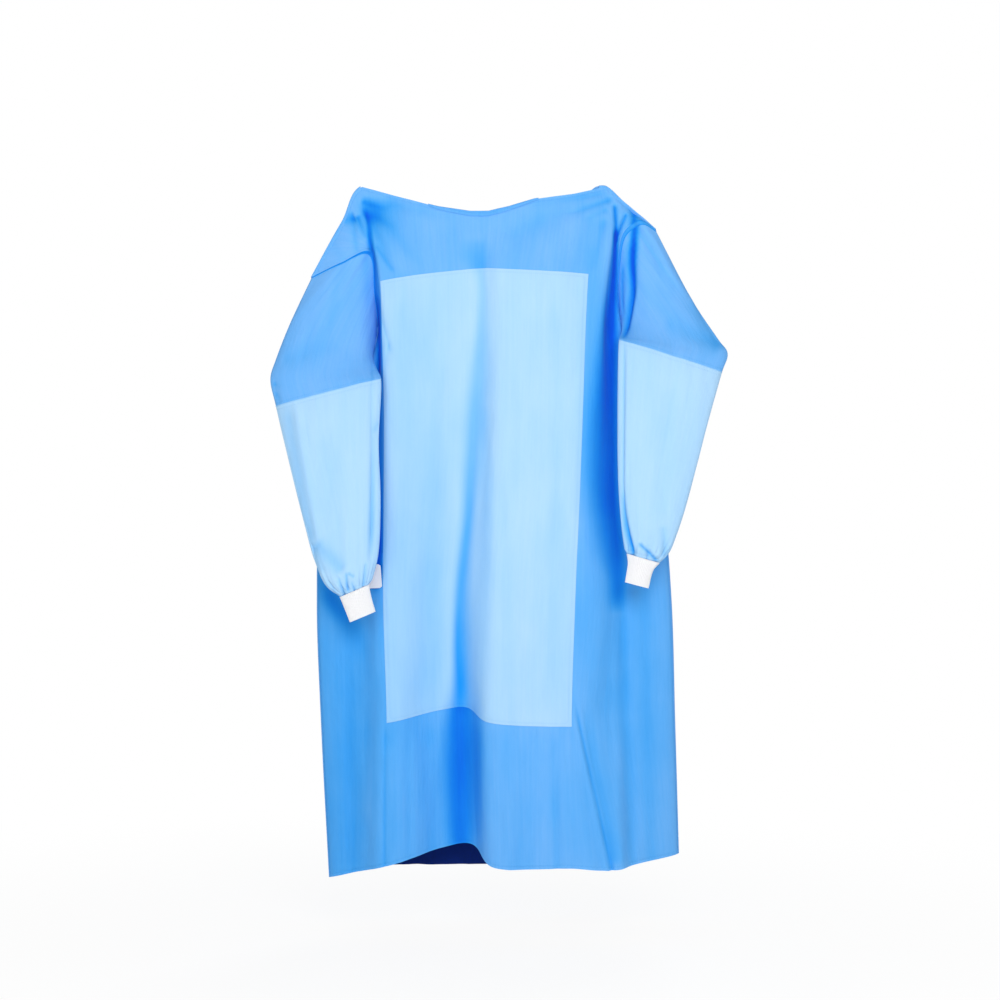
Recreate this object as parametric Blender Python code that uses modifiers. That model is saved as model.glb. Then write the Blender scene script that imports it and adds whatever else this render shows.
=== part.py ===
"""Surgical gown, held up by its two shoulders with the front to the viewer.

Metres, +Z up, the front faces -Y. The origin is midway between the two holds,
so the gown hangs below it. Every piece is a thin cloth wall: a smooth surface
through a short table of sections, given its thickness by Solidify.
Right and left are the wearer's, so right lies at -X.
"""
import math

import bpy
import numpy as np

NAME = "surgical_gown"
MM = 0.001

# Cloth and seams
CLOTH = 1.2 * MM
LAYER = 1.0 * MM
GAP = 0.3 * MM
SEAM = 0.8 * MM
ARMHOLE_STEP = 2.2 * MM
CUFF_WALL = 1.6 * MM
HALF_STEP = 1.2 * MM

# The levels of the cloth from the top edge to the hem, with the steps of the mesh below each
LEVELS = ("top", "hold", "yoke", "panel_top", "underarm", "elbow", "waist", "hip", "panel_foot", "hem")
LEVEL_STEPS = (2, 2, 2, 2, 3, 3, 3, 3, 4)
UNDERARM = LEVELS.index("underarm")

# The top edge between the two holds, x z in mm
NECK_EDGE = ((-228, 0), (-156, -20), (-87, -39), (-25, -49), (10, -49),
             (48, -40), (95, -25), (171, -13), (228, 0))

# Lines of the front cloth, each as x, y, z in mm at the ten levels
FRONT_LINES = {
    "seam_r": ((-322, -1, -169), (-265, -14, -143), (-213, -10, -122), (-204, 4, -193), (-201, 16, -283),
               (-261, 12, -438), (-304, 8, -588), (-312, 6, -777), (-304, 4, -1010), (-289, 0, -1297)),
    "lip_r": ((-228, -1, 0), (-220, -10, -49), (-204, -20, -116), (-192, -27, -180), (-188, -34, -283),
              (-184, -44, -422), (-184, -54, -588), (-185, -64, -772), (-178, -76, -1000), (-178, -88, -1264)),
    "valley": ((-3, -22, -50), (-3, -24, -84), (-3, -28, -119), (-4, -30, -156), (-4, -34, -265),
               (-6, -38, -410), (-17, -40, -572), (-37, -36, -755), (-34, -34, -975), (-25, -30, -1230)),
    "ridge": ((48, -22, -42), (46, -26, -78), (40, -34, -116), (34, -42, -158), (36, -50, -266),
              (34, -60, -412), (28, -68, -576), (14, -76, -768), (10, -84, -998), (18, -92, -1264)),
    "panel_l": ((204, -1, -4), (207, -12, -45), (202, -24, -108), (196, -34, -167), (190, -44, -270),
                (185, -56, -413), (178, -66, -585), (170, -76, -768), (163, -86, -1006), (169, -96, -1266)),
    "lip_l": ((228, -1, 0), (235, -10, -41), (238, -20, -99), (228, -28, -172), (220, -36, -273),
              (216, -46, -418), (208, -54, -592), (213, -64, -780), (191, -80, -1005), (235, -98, -1271)),
    "seam_l": ((322, -1, -79), (294, -12, -66), (264, -6, -86), (254, 4, -142), (256, 16, -234),
               (304, 12, -400), (336, 10, -588), (352, 6, -777), (359, 4, -1012), (366, 0, -1252)),
}
# The flank between a side seam and its lip at each level: its share of the way from the lip, and
# how far it falls back, in mm
FLANK = ((0.4, 0), (0.4, 0), (0.5, 4), (0.4, 2), (0.3, 12),
         (0.3, 16), (0.3, 14), (0.3, 10), (0.35, 6), (0.4, 4))
FRONT_ORDER = ("seam_r", "flank_r", "lip_r", "valley", "ridge", "panel_l", "lip_l", "flank_l", "seam_l")
FRONT_STEPS = (3, 4, 9, 3, 7, 2, 3, 3)

# Depth below the holds over which the folds grow to their full size
HOLD_FADE = 50 * MM

# Lines of the two back panels at the same levels, mm
BACK_LINES = {
    "armhole_r": ((-322, 1, -169), (-268, 26, -158), (-226, 40, -150), (-208, 38, -205), (-201, 16, -283)),
    "blade_r": ((-262, 1, -48), (-250, 30, -105), (-222, 50, -150), (-206, 60, -215), (-204, 66, -300),
                (-232, 72, -435), (-254, 74, -588), (-262, 74, -777), (-258, 72, -1010), (-248, 68, -1290)),
    "fall_r": ((-222, 1, -2), (-206, 24, -66), (-176, 44, -130), (-158, 58, -200), (-140, 70, -300),
               (-120, 80, -432), (-100, 84, -585), (-92, 84, -775), (-90, 82, -1010), (-88, 78, -1286)),
    "edge_r": ((-150, 24, -112), (-132, 36, -150), (-108, 48, -192), (-86, 58, -246), (-56, 68, -330),
               (-16, 76, -450), (18, 80, -600), (38, 80, -785), (48, 78, -1015), (54, 74, -1284)),
    "armhole_l": ((322, 1, -79), (296, 26, -86), (268, 40, -96), (257, 38, -158), (256, 16, -234)),
    "blade_l": ((274, 1, -26), (262, 30, -66), (250, 50, -104), (246, 62, -172), (252, 70, -260),
                (274, 80, -405), (292, 84, -588), (300, 84, -777), (304, 82, -1010), (304, 78, -1254)),
    "fall_l": ((222, 1, -2), (208, 24, -58), (184, 46, -112), (172, 64, -186), (160, 80, -286),
               (148, 92, -425), (134, 97, -588), (128, 97, -777), (126, 95, -1010), (126, 91, -1262)),
    "edge_l": ((150, 26, -108), (134, 40, -146), (112, 56, -188), (90, 70, -242), (60, 82, -328),
               (20, 92, -450), (-16, 97, -600), (-36, 97, -785), (-46, 95, -1015), (-52, 91, -1274)),
}
BACK_STEPS = (4, 3, 5)

# Folds of the front: start x z, end x z, half width, depth at each end, mm; minus stands forward
FRONT_FOLDS = {
    "hem_left_of_panel": ((-176, -1010), (-176, -1270), 20, 5, 9),
    "hem_drag_left": ((172, -980), (232, -1275), 22, 3, 14),
    "hold_drag_right": ((-214, -30), (-176, -190), 22, 7, 3),
    "hold_fan_right": ((-190, -20), (-120, -150), 24, 6, 2),
    "neck_drag_left": ((196, -22), (60, -92), 22, 6, 3),
    "hold_fan_left": ((206, -60), (178, -200), 20, 5, 2),
    "long_right": ((-108, -230), (-112, -960), 34, 4, 7),
    "long_left": ((104, -220), (92, -960), 34, 3, 6),
    "skirt_right": ((-100, -1010), (-92, -1270), 26, 5, 12),
    "skirt_left": ((96, -1010), (84, -1270), 30, 3, 9),
}
# Share of a fold's length over which it fades out at each end
FOLD_FADE = 0.2

# Sleeve sections below the armhole: outer edge x z, inner edge x z, middle y, depth, mm
SLEEVE_SECTIONS = {
    "r": (
        ("upper", (-358, -249), (-207, -322), -12, 56),
        ("elbow", (-396, -362), (-196, -350), -40, 54),
        ("join", (-384, -415), (-190, -364), -56, 50),
        ("forearm", (-361, -504), (-193, -480), -80, 42),
        ("lower", (-327, -636), (-189, -590), -98, 38),
        ("puff", (-309, -700), (-193, -686), -104, 42),
        ("gather", (-287, -746), (-203, -727), -106, 44),
        ("wrist", (-262, -765), (-210, -743), -108, 32),
    ),
    "l": (
        ("upper", (393, -217), (260, -262), -10, 56),
        ("elbow", (453, -314), (255, -283), -40, 54),
        ("join", (442, -352), (252, -292), -56, 50),
        ("forearm", (411, -456), (248, -432), -80, 42),
        ("lower", (373, -597), (249, -560), -98, 38),
        ("puff", (354, -655), (255, -640), -104, 42),
        ("gather", (339, -688), (260, -672), -106, 44),
        ("wrist", (323, -703), (264, -686), -108, 32),
    ),
}
UPPER_STEPS = (3, 3, 1)
FOREARM_STEPS = (2, 3, 2, 2, 1)
# The solids of each sleeve from the armhole down, with the section at which each ends
SLEEVE_PARTS = {
    "r": (("sleeve_upper_right", "join"), ("sleeve_forearm_right", "lower"),
          ("sleeve_wrist_right", "wrist")),
    "l": (("sleeve_upper_left", "join"), ("sleeve_forearm_left", "wrist")),
}
SLEEVE_SIDES = 28
# The lowest part of the armhole's loop that is rounded off, as a share of its height
ARMHOLE_SOFT = 0.3
# Gathers above the cuff: their number, depth, and share of it at the last two rows
GATHERS = 7
GATHER_DEPTH = 2.2 * MM
GATHER_END = (1, 0.7, 0)

# Cuffs below the wrist section: the same columns as the sleeves
CUFF_SECTIONS = {
    "r": (
        ("neck", (-254, -784), (-206, -765), -108, 25),
        ("end", (-243, -812), (-198, -793), -108, 22),
    ),
    "l": (
        ("neck", (311, -717), (266, -704), -108, 25),
        ("end", (302, -750), (261, -739), -108, 22),
    ),
}
CUFF_STEPS = (2, 3)

# Neck binding, closing tabs, belt and the card that holds its end
BINDING_DEPTH = 9 * MM
BINDING_END_DEPTH = 3 * MM
BINDING_REACH = 104 * MM
TAB_DROP = 8 * MM
TAB_INSET = 2 * MM
TAB_WIDTH = 27 * MM
TAB_LENGTH = 60 * MM
TAB_EASE = 0.6 * MM
TAB_POINTS = (9, 5)
BELT_WIDTH = 24 * MM
BELT_Z = -698 * MM
CARD_WIDTH = 54 * MM
CARD_HEIGHT = 44 * MM
CARD_CENTRE = (-216 * MM, -731 * MM)
CARD_TILT = math.radians(4)
BELT_EASE = 0.5 * MM
CARD_EASE = 0.7 * MM
# The card's fit is measured on a grid of points, and every few of them become its mesh
CARD_POINTS = 9
CARD_STRIDE = 4

COLOURS = {
    "body_blue": (0.155, 0.455, 0.93, 0.75),
    "panel_light_blue": (0.37, 0.68, 0.96, 0.75),
    "binding_blue": (0.12, 0.40, 0.88, 0.7),
    "knit_white": (0.90, 0.90, 0.91, 0.9),
    "card_white": (0.88, 0.86, 0.87, 0.6),
}


def clear_scene():
    for obj in list(bpy.data.objects):
        bpy.data.objects.remove(obj, do_unlink=True)


def materials():
    made = {}
    for name, (red, green, blue, rough) in COLOURS.items():
        mat = bpy.data.materials.new(name)
        mat.use_nodes = True
        shader = mat.node_tree.nodes["Principled BSDF"]
        shader.inputs["Base Color"].default_value = (red, green, blue, 1)
        shader.inputs["Roughness"].default_value = rough
        shader.inputs["Metallic"].default_value = 0
        mat.diffuse_color = (red, green, blue, 1)
        made[name] = mat
    return made


def rows_to(level):
    """Number of mesh rows from the top edge to a level."""
    return sum(LEVEL_STEPS[:LEVELS.index(level)])


def columns_to(line):
    """Number of mesh columns from the right side seam of the front to a line."""
    return sum(FRONT_STEPS[:FRONT_ORDER.index(line)])


def rings_to(section):
    """Number of mesh rows from the armhole to a section of the sleeve."""
    names = [row[0] for row in SLEEVE_SECTIONS["r"]]
    return sum((UPPER_STEPS + FOREARM_STEPS)[:names.index(section) + 1])


def unit(vectors):
    return vectors / np.maximum(np.linalg.norm(vectors, axis=-1, keepdims=True), 1e-12)


def curve_through(keys, steps, before=None, after=None):
    """Centripetal curve through keys along axis 0, with steps[i] points in stretch i."""
    keys = np.asarray(keys, float)
    first = 2 * keys[0] - keys[1] if before is None else before
    last = 2 * keys[-1] - keys[-2] if after is None else after
    line = np.concatenate([first[None], keys, last[None]])
    out = [keys[:1]]
    for i, count in enumerate(steps):
        p0, p1, p2, p3 = line[i:i + 4]
        a, b, c = [np.sqrt(np.linalg.norm(q - p, axis=-1, keepdims=True)) + 1e-5
                   for p, q in ((p0, p1), (p1, p2), (p2, p3))]
        leave = b * ((p1 - p0) / a - (p2 - p0) / (a + b)) + (p2 - p1)
        arrive = (p2 - p1) - b * ((p3 - p1) / (b + c) - (p3 - p2) / c)
        t = (np.arange(1, count + 1) / count).reshape((-1,) + (1,) * p1.ndim)
        out.append((2 * t**3 - 3 * t**2 + 1) * p1 + (t**3 - 2 * t**2 + t) * leave
                   + (3 * t**2 - 2 * t**3) * p2 + (t**3 - t**2) * arrive)
    return np.concatenate(out)


def surface(lines, level_steps, line_steps, before=None, after=None):
    """Grid (rows, columns, 3) through lines, each a list of points at the levels."""
    down = [curve_through(line, level_steps) for line in lines]
    edges = [None if line is None else curve_through(line, level_steps) for line in (before, after)]
    return np.swapaxes(curve_through(np.array(down), line_steps, *edges), 0, 1)


def fold_offset(x, z, folds):
    """Depth of soft troughs along straight lines, fading past both ends."""
    total = np.zeros_like(x)
    for (x0, z0), (x1, z1), width, depth0, depth1 in folds.values():
        run = np.array([x1 - x0, z1 - z0]) * MM
        length = np.linalg.norm(run)
        run = run / length
        along = ((x - x0 * MM) * run[0] + (z - z0 * MM) * run[1]) / length
        across = ((x - x0 * MM) * run[1] - (z - z0 * MM) * run[0]) / (width * MM)
        fade = np.clip(along / FOLD_FADE + 0.5, 0, 1) * np.clip((1 - along) / FOLD_FADE + 1, 0, 1)
        depth = (depth0 + (depth1 - depth0) * np.clip(along, 0, 1)) * MM
        total += depth * np.exp(-across**2) * fade
    return total


def front_lines():
    lines = {name: np.array(points, float) * MM for name, points in FRONT_LINES.items()}
    share, recess = np.array(FLANK, float).T
    for side in "rl":
        lip = lines["lip_" + side]
        flank = lip + (lines["seam_" + side] - lip) * share[:, None]
        flank[:, 1] += recess * MM
        lines["flank_" + side] = flank
    return lines


def back_lines():
    lines = {name: np.array(points, float) * MM for name, points in BACK_LINES.items()}
    front = front_lines()
    for side in "rl":
        below = front["seam_" + side][UNDERARM + 1:]
        lines["seam_" + side] = np.concatenate([lines["armhole_" + side], below])
    return lines


def side_guide(front, back, side):
    """The line past a front side seam: the back's own below the armhole, straight on above it."""
    guide = 2 * front["seam_" + side] - front["flank_" + side]
    guide[UNDERARM:] = back["blade_" + side][UNDERARM:]
    return guide


def neck_shift(edge):
    """How far each point of the top edge must rise to lie on the neck edge."""
    x, z = np.array(NECK_EDGE, float).T * MM
    between = (edge[:, 0] > x[0]) & (edge[:, 0] < x[-1])
    return np.where(between, np.interp(edge[:, 0], x, z) - edge[:, 2], 0)


def front_grid():
    front = front_lines()
    back = back_lines()
    grid = surface([front[name] for name in FRONT_ORDER], LEVEL_STEPS, FRONT_STEPS,
                   side_guide(front, back, "r"), side_guide(front, back, "l"))
    fade = np.clip(1 - np.arange(len(grid)) / LEVEL_STEPS[0], 0, 1)
    grid[..., 2] += fade[:, None] * neck_shift(grid[0])
    hold = np.clip(-grid[..., 2] / HOLD_FADE, 0, 1)
    grid[..., 1] += fold_offset(grid[..., 0], grid[..., 2], FRONT_FOLDS) * hold
    grid[0, :, 1] = np.minimum(grid[0, :, 1], -MM)
    return grid


def back_grid(side, front):
    """Back panel from its side seam to its free edge, fitted to the front along seam and shoulder."""
    lines = back_lines()
    fronts = front_lines()
    names = [kind + side for kind in ("seam_", "blade_", "fall_", "edge_")]
    guide = 2 * lines["seam_" + side] - lines["blade_" + side]
    guide[UNDERARM:] = fronts["flank_" + side][UNDERARM:]
    grid = surface([lines[name] for name in names], LEVEL_STEPS, BACK_STEPS, guide)
    shoulder = front[0, :columns_to("lip_r") + 1] if side == "r" else front[0, columns_to("lip_l"):][::-1]
    gap = shoulder * np.array([1, -1, 1]) - grid[0, :len(shoulder)]
    shift = np.concatenate([gap, np.repeat(gap[-1:], grid.shape[1] - len(gap), 0)])
    shift[len(gap):] *= np.linspace(1, 0, grid.shape[1] - len(gap) + 1)[1:, None]
    fade = np.clip(1 - np.arange(len(grid)) / LEVEL_STEPS[0], 0, 1)
    grid += shift[None] * fade[:, None, None]
    below = rows_to("underarm")
    seam = front[below:, 0 if side == "r" else -1]
    grid[below:, 0] = seam + unit(grid[below:, 1] - seam) * SEAM
    return grid


def sleeve_ring(outer, inner, middle, depth):
    """Flattened loop: out along its outer edge, over the front to the inner edge and back behind."""
    angle = np.arange(SLEEVE_SIDES) / SLEEVE_SIDES * 2 * np.pi
    outer = np.array([outer[0], middle, outer[1]]) * MM
    inner = np.array([inner[0], middle, inner[1]]) * MM
    centre = (outer + inner) / 2
    reach = (outer - inner) / 2
    ring = centre + np.cos(angle)[:, None] * reach
    ring[:, 1] -= np.sin(angle) * depth / 2 * MM
    return ring


def armhole_ring(side, front, back):
    """The loop of the armhole, read from the front's edge down and the back's edge up."""
    below = rows_to("underarm")
    column = 0 if side == "r" else -1
    way = -1 if side == "r" else 1
    edge = np.concatenate([front[:below + 1, column], back[:below, 0][::-1]])
    length = np.concatenate([[0], np.cumsum(np.linalg.norm(np.diff(edge, axis=0), axis=1))])
    half = length[below]
    at = np.arange(SLEEVE_SIDES) / SLEEVE_SIDES * 2
    at = np.where(at <= 1, at * half, half + (at - 1) * (length[-1] - half))
    ring = np.stack([np.interp(at, length, edge[:, i]) for i in range(3)], axis=1)
    low = np.clip(at / half, 0, 1) * np.clip((length[-1] - at) / (length[-1] - half), 0, 1)
    ring[:, 0] += way * ARMHOLE_STEP * low
    ring[:, 2] -= SEAM + low * SEAM
    soft = np.clip(low - 1 + ARMHOLE_SOFT, 0, 1)[:, None] / ARMHOLE_SOFT
    ring += soft * ((np.roll(ring, 1, 0) + np.roll(ring, -1, 0)) / 2 - ring)
    return ring


def sleeve_grid(side, front, back):
    """Whole sleeve from the armhole to the wrist, gathered in above the cuff."""
    rings = [armhole_ring(side, front, back)]
    rings += [sleeve_ring(*section[1:]) for section in SLEEVE_SECTIONS[side]]
    grid = curve_through(np.array(rings), UPPER_STEPS + FOREARM_STEPS)
    rows = grid.shape[0] - 1
    start = rings_to("lower")
    centre = grid.mean(axis=1, keepdims=True)
    wave = np.cos(np.arange(SLEEVE_SIDES) / SLEEVE_SIDES * 2 * np.pi * GATHERS)
    rise = np.interp(np.arange(rows + 1), (start, rows - 2, rows - 1, rows), (0, *GATHER_END))
    grid += unit(grid - centre) * (wave[None, :, None] * rise[:, None, None] * GATHER_DEPTH)
    return grid


def halves(grid):
    """Front and back half of a tube, the back one drawn in a little from both lines where they meet."""
    middle = SLEEVE_SIDES // 2
    back = np.concatenate([grid[:, middle:], grid[:, :1]], axis=1)
    first, last = unit(back[:, 1] - back[:, 0]), unit(back[:, -2] - back[:, -1])
    back[:, 0] += first * HALF_STEP
    back[:, -1] += last * HALF_STEP
    return grid[:, :middle + 1], back


def wall(name, grid, collection, mat, thick=CLOTH, closed=False):
    """Mesh of the grid, its columns joined round if closed, with a Solidify wall about it."""
    rows, columns = grid.shape[:2]
    index = np.arange(rows * columns).reshape(rows, columns)
    if closed:
        index = np.concatenate([index, index[:, :1]], axis=1)
    a, b, c, d = index[:-1, :-1], index[1:, :-1], index[1:, 1:], index[:-1, 1:]
    faces = np.stack([a, b, c, d], axis=-1).reshape(-1, 4)
    mesh = bpy.data.meshes.new(name)
    mesh.from_pydata(grid.reshape(-1, 3).tolist(), [], faces.tolist())
    mesh.materials.append(mat)
    mesh.shade_smooth()
    obj = bpy.data.objects.new(name, mesh)
    collection.objects.link(obj)
    solid = obj.modifiers.new("cloth", "SOLIDIFY")
    solid.thickness = thick
    solid.offset = 0
    solid.use_even_offset = True
    return obj


def outward(grid):
    """Unit normals of an open grid whose columns run to +X and rows down, pointing to the viewer."""
    across = np.gradient(grid, axis=1)
    down = np.gradient(grid, axis=0)
    return unit(np.cross(down, across))


def neck_binding(front):
    """Strip folded over the middle of the front neck edge, deepest at its middle."""
    under = np.abs(front[0, :, 0]) < BINDING_REACH
    edge, normal = front[0, under], outward(front)[0, under]
    down = unit(front[1, under] - edge)
    away = CLOTH / 2 + GAP + LAYER / 2
    share = 1 - (edge[:, :1] / BINDING_REACH) ** 2
    depth = BINDING_END_DEPTH + (BINDING_DEPTH - BINDING_END_DEPTH) * share
    return np.array([edge + down * depth + normal * away, edge + (normal - down) * away,
                     edge - (normal + down) * away, edge + down * depth - normal * away])


def level_line(grid, z, columns):
    """The points of the given columns at height z."""
    return np.array([[np.interp(-z, -grid[:, c, 2], grid[:, c, axis]) for axis in range(3)] for c in columns])


def belt(front, back):
    """Flat strip round the right side, from beside the lip of the front to the free edge of the back."""
    lip = columns_to("lip_r")
    lift = CLOTH / 2 + GAP + LAYER / 2 + BELT_EASE
    rows = []
    for z in (BELT_Z + BELT_WIDTH / 2, BELT_Z, BELT_Z - BELT_WIDTH / 2):
        path = np.concatenate([level_line(front, z, range(lip, -1, -1)),
                               level_line(back, z, range(1, back.shape[1]))])
        along = np.gradient(path, axis=0)
        out = unit(np.stack([along[:, 1], -along[:, 0], np.zeros(len(along))], axis=1))
        rows.append(path - out * lift)
    return np.array(rows)


def depth_at(cloth, x, z):
    """Depth y of a cloth, its columns running to +X, at the point x, z."""
    y_rows = [np.interp(x, row[:, 0], row[:, 1]) for row in cloth]
    z_rows = [np.interp(x, row[:, 0], row[:, 2]) for row in cloth]
    return np.interp(-z, -np.array(z_rows), y_rows)


def tab(back, side):
    """Square tab at the neck end of a back edge: behind the right panel, in front of the left one."""
    edge = back[:, -1]
    rows, columns = TAB_POINTS
    z = edge[0, 2] - TAB_DROP - np.linspace(0, TAB_LENGTH, rows)
    way = -1 if side == "r" else 1
    x = np.interp(-z, -edge[:, 2], edge[:, 0])[:, None] + way * np.linspace(TAB_INSET, TAB_WIDTH, columns)
    z = np.tile(z[:, None], (1, columns))
    cloth = back if side == "r" else back[:, ::-1]
    y = np.array([depth_at(cloth, px, pz) for px, pz in zip(x.ravel(), z.ravel())]).reshape(x.shape)
    grid = np.stack([x, y, z], axis=-1)
    normal = outward(grid)
    normal *= -way * np.sign(normal[..., 1:2])
    return grid + normal * (CLOTH / 2 + GAP + LAYER / 2 + TAB_EASE)


def transfer_card(front):
    """Flat card that leans on the cloth and on the belt's end."""
    s, t = np.meshgrid(np.linspace(-0.5, 0.5, CARD_POINTS), np.linspace(0.5, -0.5, CARD_POINTS))
    x = CARD_CENTRE[0] + s * CARD_WIDTH * math.cos(CARD_TILT) - t * CARD_HEIGHT * math.sin(CARD_TILT)
    z = CARD_CENTRE[1] + s * CARD_WIDTH * math.sin(CARD_TILT) + t * CARD_HEIGHT * math.cos(CARD_TILT)
    cloth = np.array([depth_at(front, px, pz) for px, pz in zip(x.ravel(), z.ravel())]).reshape(x.shape)
    fall = cloth[:, 0].mean() - cloth[:, -1].mean()
    on_belt = np.abs(z - BELT_Z) < BELT_WIDTH / 2 + LAYER
    lift = CLOTH / 2 + GAP + CARD_EASE + LAYER / 2 + on_belt * (GAP + LAYER + BELT_EASE)
    plane = -fall * (s + 0.5)
    plane += (cloth - lift * math.hypot(1, fall / CARD_WIDTH) - plane).min()
    return np.stack([x, plane, z], axis=-1)[::CARD_STRIDE, ::CARD_STRIDE]


def main():
    clear_scene()
    mats = materials()
    gown = bpy.data.collections.new(NAME)
    bpy.context.scene.collection.children.link(gown)
    front = front_grid()
    wall("front_body", front, gown, mats["body_blue"])
    backs = {side: back_grid(side, front) for side in "rl"}
    wall("back_right", backs["r"], gown, mats["body_blue"])
    wall("back_left", backs["l"], gown, mats["body_blue"])
    for side, word in (("r", "right"), ("l", "left")):
        grid = sleeve_grid(side, front, backs[side])
        first = 0
        for name, end in SLEEVE_PARTS[side]:
            cloth = grid[first:rings_to(end) + 1].copy()
            cloth[0] += unit(cloth[1] - cloth[0]) * SEAM * (first > 0)
            slot = "panel_light_blue" if first else "body_blue"
            for half, points in zip(("_front", "_back"), halves(cloth)):
                wall(name + half, points, gown, mats[slot])
            first = rings_to(end)
        wrist = SLEEVE_SECTIONS[side][-1:] + CUFF_SECTIONS[side]
        cuff = curve_through(np.array([sleeve_ring(*section[1:]) for section in wrist]), CUFF_STEPS)
        cuff[0] += unit(cuff[1] - cuff[0]) * SEAM
        wall("cuff_" + word, cuff, gown, mats["knit_white"], thick=CUFF_WALL, closed=True)
    lift = CLOTH / 2 + GAP + LAYER / 2
    panel = (front + outward(front) * lift)[rows_to("panel_top"):rows_to("panel_foot") + 1,
                                            columns_to("lip_r"):columns_to("panel_l") + 1]
    wall("front_reinforcement", panel, gown, mats["panel_light_blue"], thick=LAYER)
    wall("neck_binding", neck_binding(front), gown, mats["binding_blue"], thick=LAYER)
    wall("neck_tab_left", tab(backs["l"], "l"), gown, mats["card_white"], thick=LAYER)
    wall("neck_patch_right", tab(backs["r"], "r"), gown, mats["card_white"], thick=LAYER)
    wall("belt", belt(front, backs["r"]), gown, mats["body_blue"], thick=LAYER)
    wall("transfer_card", transfer_card(front), gown, mats["card_white"], thick=LAYER)


main()
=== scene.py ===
"""The looks of the surgical gown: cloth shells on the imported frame, finishes, camera and light.

Metres, +Z up, the front faces -Y, the gown's own right lies at -X. Each cloth is a
surface of two parameters through the same short tables as its solid, drawn on a
finer grid, with its creases pressed in and then given a thin wall.
"""
import math
import bpy
import numpy as np
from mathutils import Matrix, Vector


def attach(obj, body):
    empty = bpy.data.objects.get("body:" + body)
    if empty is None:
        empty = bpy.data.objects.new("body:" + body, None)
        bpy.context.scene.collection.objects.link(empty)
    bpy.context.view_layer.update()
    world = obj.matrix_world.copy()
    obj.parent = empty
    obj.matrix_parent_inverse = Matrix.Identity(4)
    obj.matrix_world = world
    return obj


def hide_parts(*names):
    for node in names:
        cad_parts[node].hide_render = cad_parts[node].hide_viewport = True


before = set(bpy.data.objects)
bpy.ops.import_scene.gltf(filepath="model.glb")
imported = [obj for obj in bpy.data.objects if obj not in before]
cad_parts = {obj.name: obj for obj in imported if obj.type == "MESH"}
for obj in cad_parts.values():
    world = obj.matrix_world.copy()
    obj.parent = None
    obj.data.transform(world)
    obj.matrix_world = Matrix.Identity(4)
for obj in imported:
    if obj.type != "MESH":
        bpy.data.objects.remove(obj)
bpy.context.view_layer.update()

MM = 0.001
SIDES = (("r", "right"), ("l", "left"))

# Walls of the cloth, of what is laid on it, of the knit and of the seams, and the air between layers
CLOTH = 1.0 * MM
LAYER = 0.8 * MM
KNIT = 1.4 * MM
SEAM_WALL = 0.5 * MM
FOLD_WALL = 0.7 * MM
GAP = 0.4 * MM
# Air between two cloths at a seam, and how far a sleeve steps off the side seam at the armpit
SEAM = 0.8 * MM
ARMHOLE_STEP = 2.2 * MM

# The levels of the cloth from the top edge to the hem, with the coarse steps below each
LEVELS = ("top", "hold", "yoke", "panel_top", "underarm", "elbow", "waist", "hip", "panel_foot", "hem")
LEVEL_STEPS = (2, 2, 2, 2, 3, 3, 3, 3, 4)
UNDERARM = LEVELS.index("underarm")

# The top edge between the two holds, x z in mm
NECK_EDGE = ((-228, 0), (-156, -20), (-87, -39), (-25, -49), (10, -49), (48, -40), (95, -25), (171, -13), (228, 0))
FINE_DOWN = 7
FINE_ACROSS = 6

# Lines of the front cloth, each as x, y, z in mm at the ten levels
FRONT_LINES = {
    "seam_r": ((-322, -1, -169), (-265, -14, -143), (-213, -10, -122), (-204, 4, -193), (-201, 16, -283),
               (-261, 12, -438), (-304, 8, -588), (-312, 6, -777), (-304, 4, -1010), (-289, 0, -1297)),
    "lip_r": ((-228, -1, 0), (-220, -10, -49), (-204, -20, -116), (-192, -27, -180), (-188, -34, -283),
              (-184, -44, -422), (-184, -54, -588), (-185, -64, -772), (-178, -76, -1000), (-178, -88, -1264)),
    "valley": ((-3, -22, -50), (-3, -24, -84), (-3, -28, -119), (-4, -30, -156), (-4, -34, -265),
               (-6, -38, -410), (-17, -40, -572), (-37, -36, -755), (-34, -34, -975), (-25, -30, -1230)),
    "ridge": ((48, -22, -42), (46, -26, -78), (40, -34, -116), (34, -42, -158), (36, -50, -266),
              (34, -60, -412), (28, -68, -576), (14, -76, -768), (10, -84, -998), (18, -92, -1264)),
    "panel_l": ((204, -1, -4), (207, -12, -45), (202, -24, -108), (196, -34, -167), (190, -44, -270),
                (185, -56, -413), (178, -66, -585), (170, -76, -768), (163, -86, -1006), (169, -96, -1266)),
    "lip_l": ((228, -1, 0), (235, -10, -41), (238, -20, -99), (228, -28, -172), (220, -36, -273),
              (216, -46, -418), (208, -54, -592), (213, -64, -780), (191, -80, -1005), (235, -98, -1271)),
    "seam_l": ((322, -1, -79), (294, -12, -66), (264, -6, -86), (254, 4, -142), (256, 16, -234),
               (304, 12, -400), (336, 10, -588), (352, 6, -777), (359, 4, -1012), (366, 0, -1252)),
}
# The flank between a side seam and its lip: its share of the way from the lip, and its fall back, mm
FLANK = ((0.4, 0), (0.4, 0), (0.5, 4), (0.4, 2), (0.3, 12), (0.3, 16), (0.3, 14), (0.3, 10), (0.35, 6), (0.4, 4))
FRONT_ORDER = ("seam_r", "flank_r", "lip_r", "valley", "ridge", "panel_l", "lip_l", "flank_l", "seam_l")
FRONT_STEPS = (3, 4, 9, 3, 7, 2, 3, 3)

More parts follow.
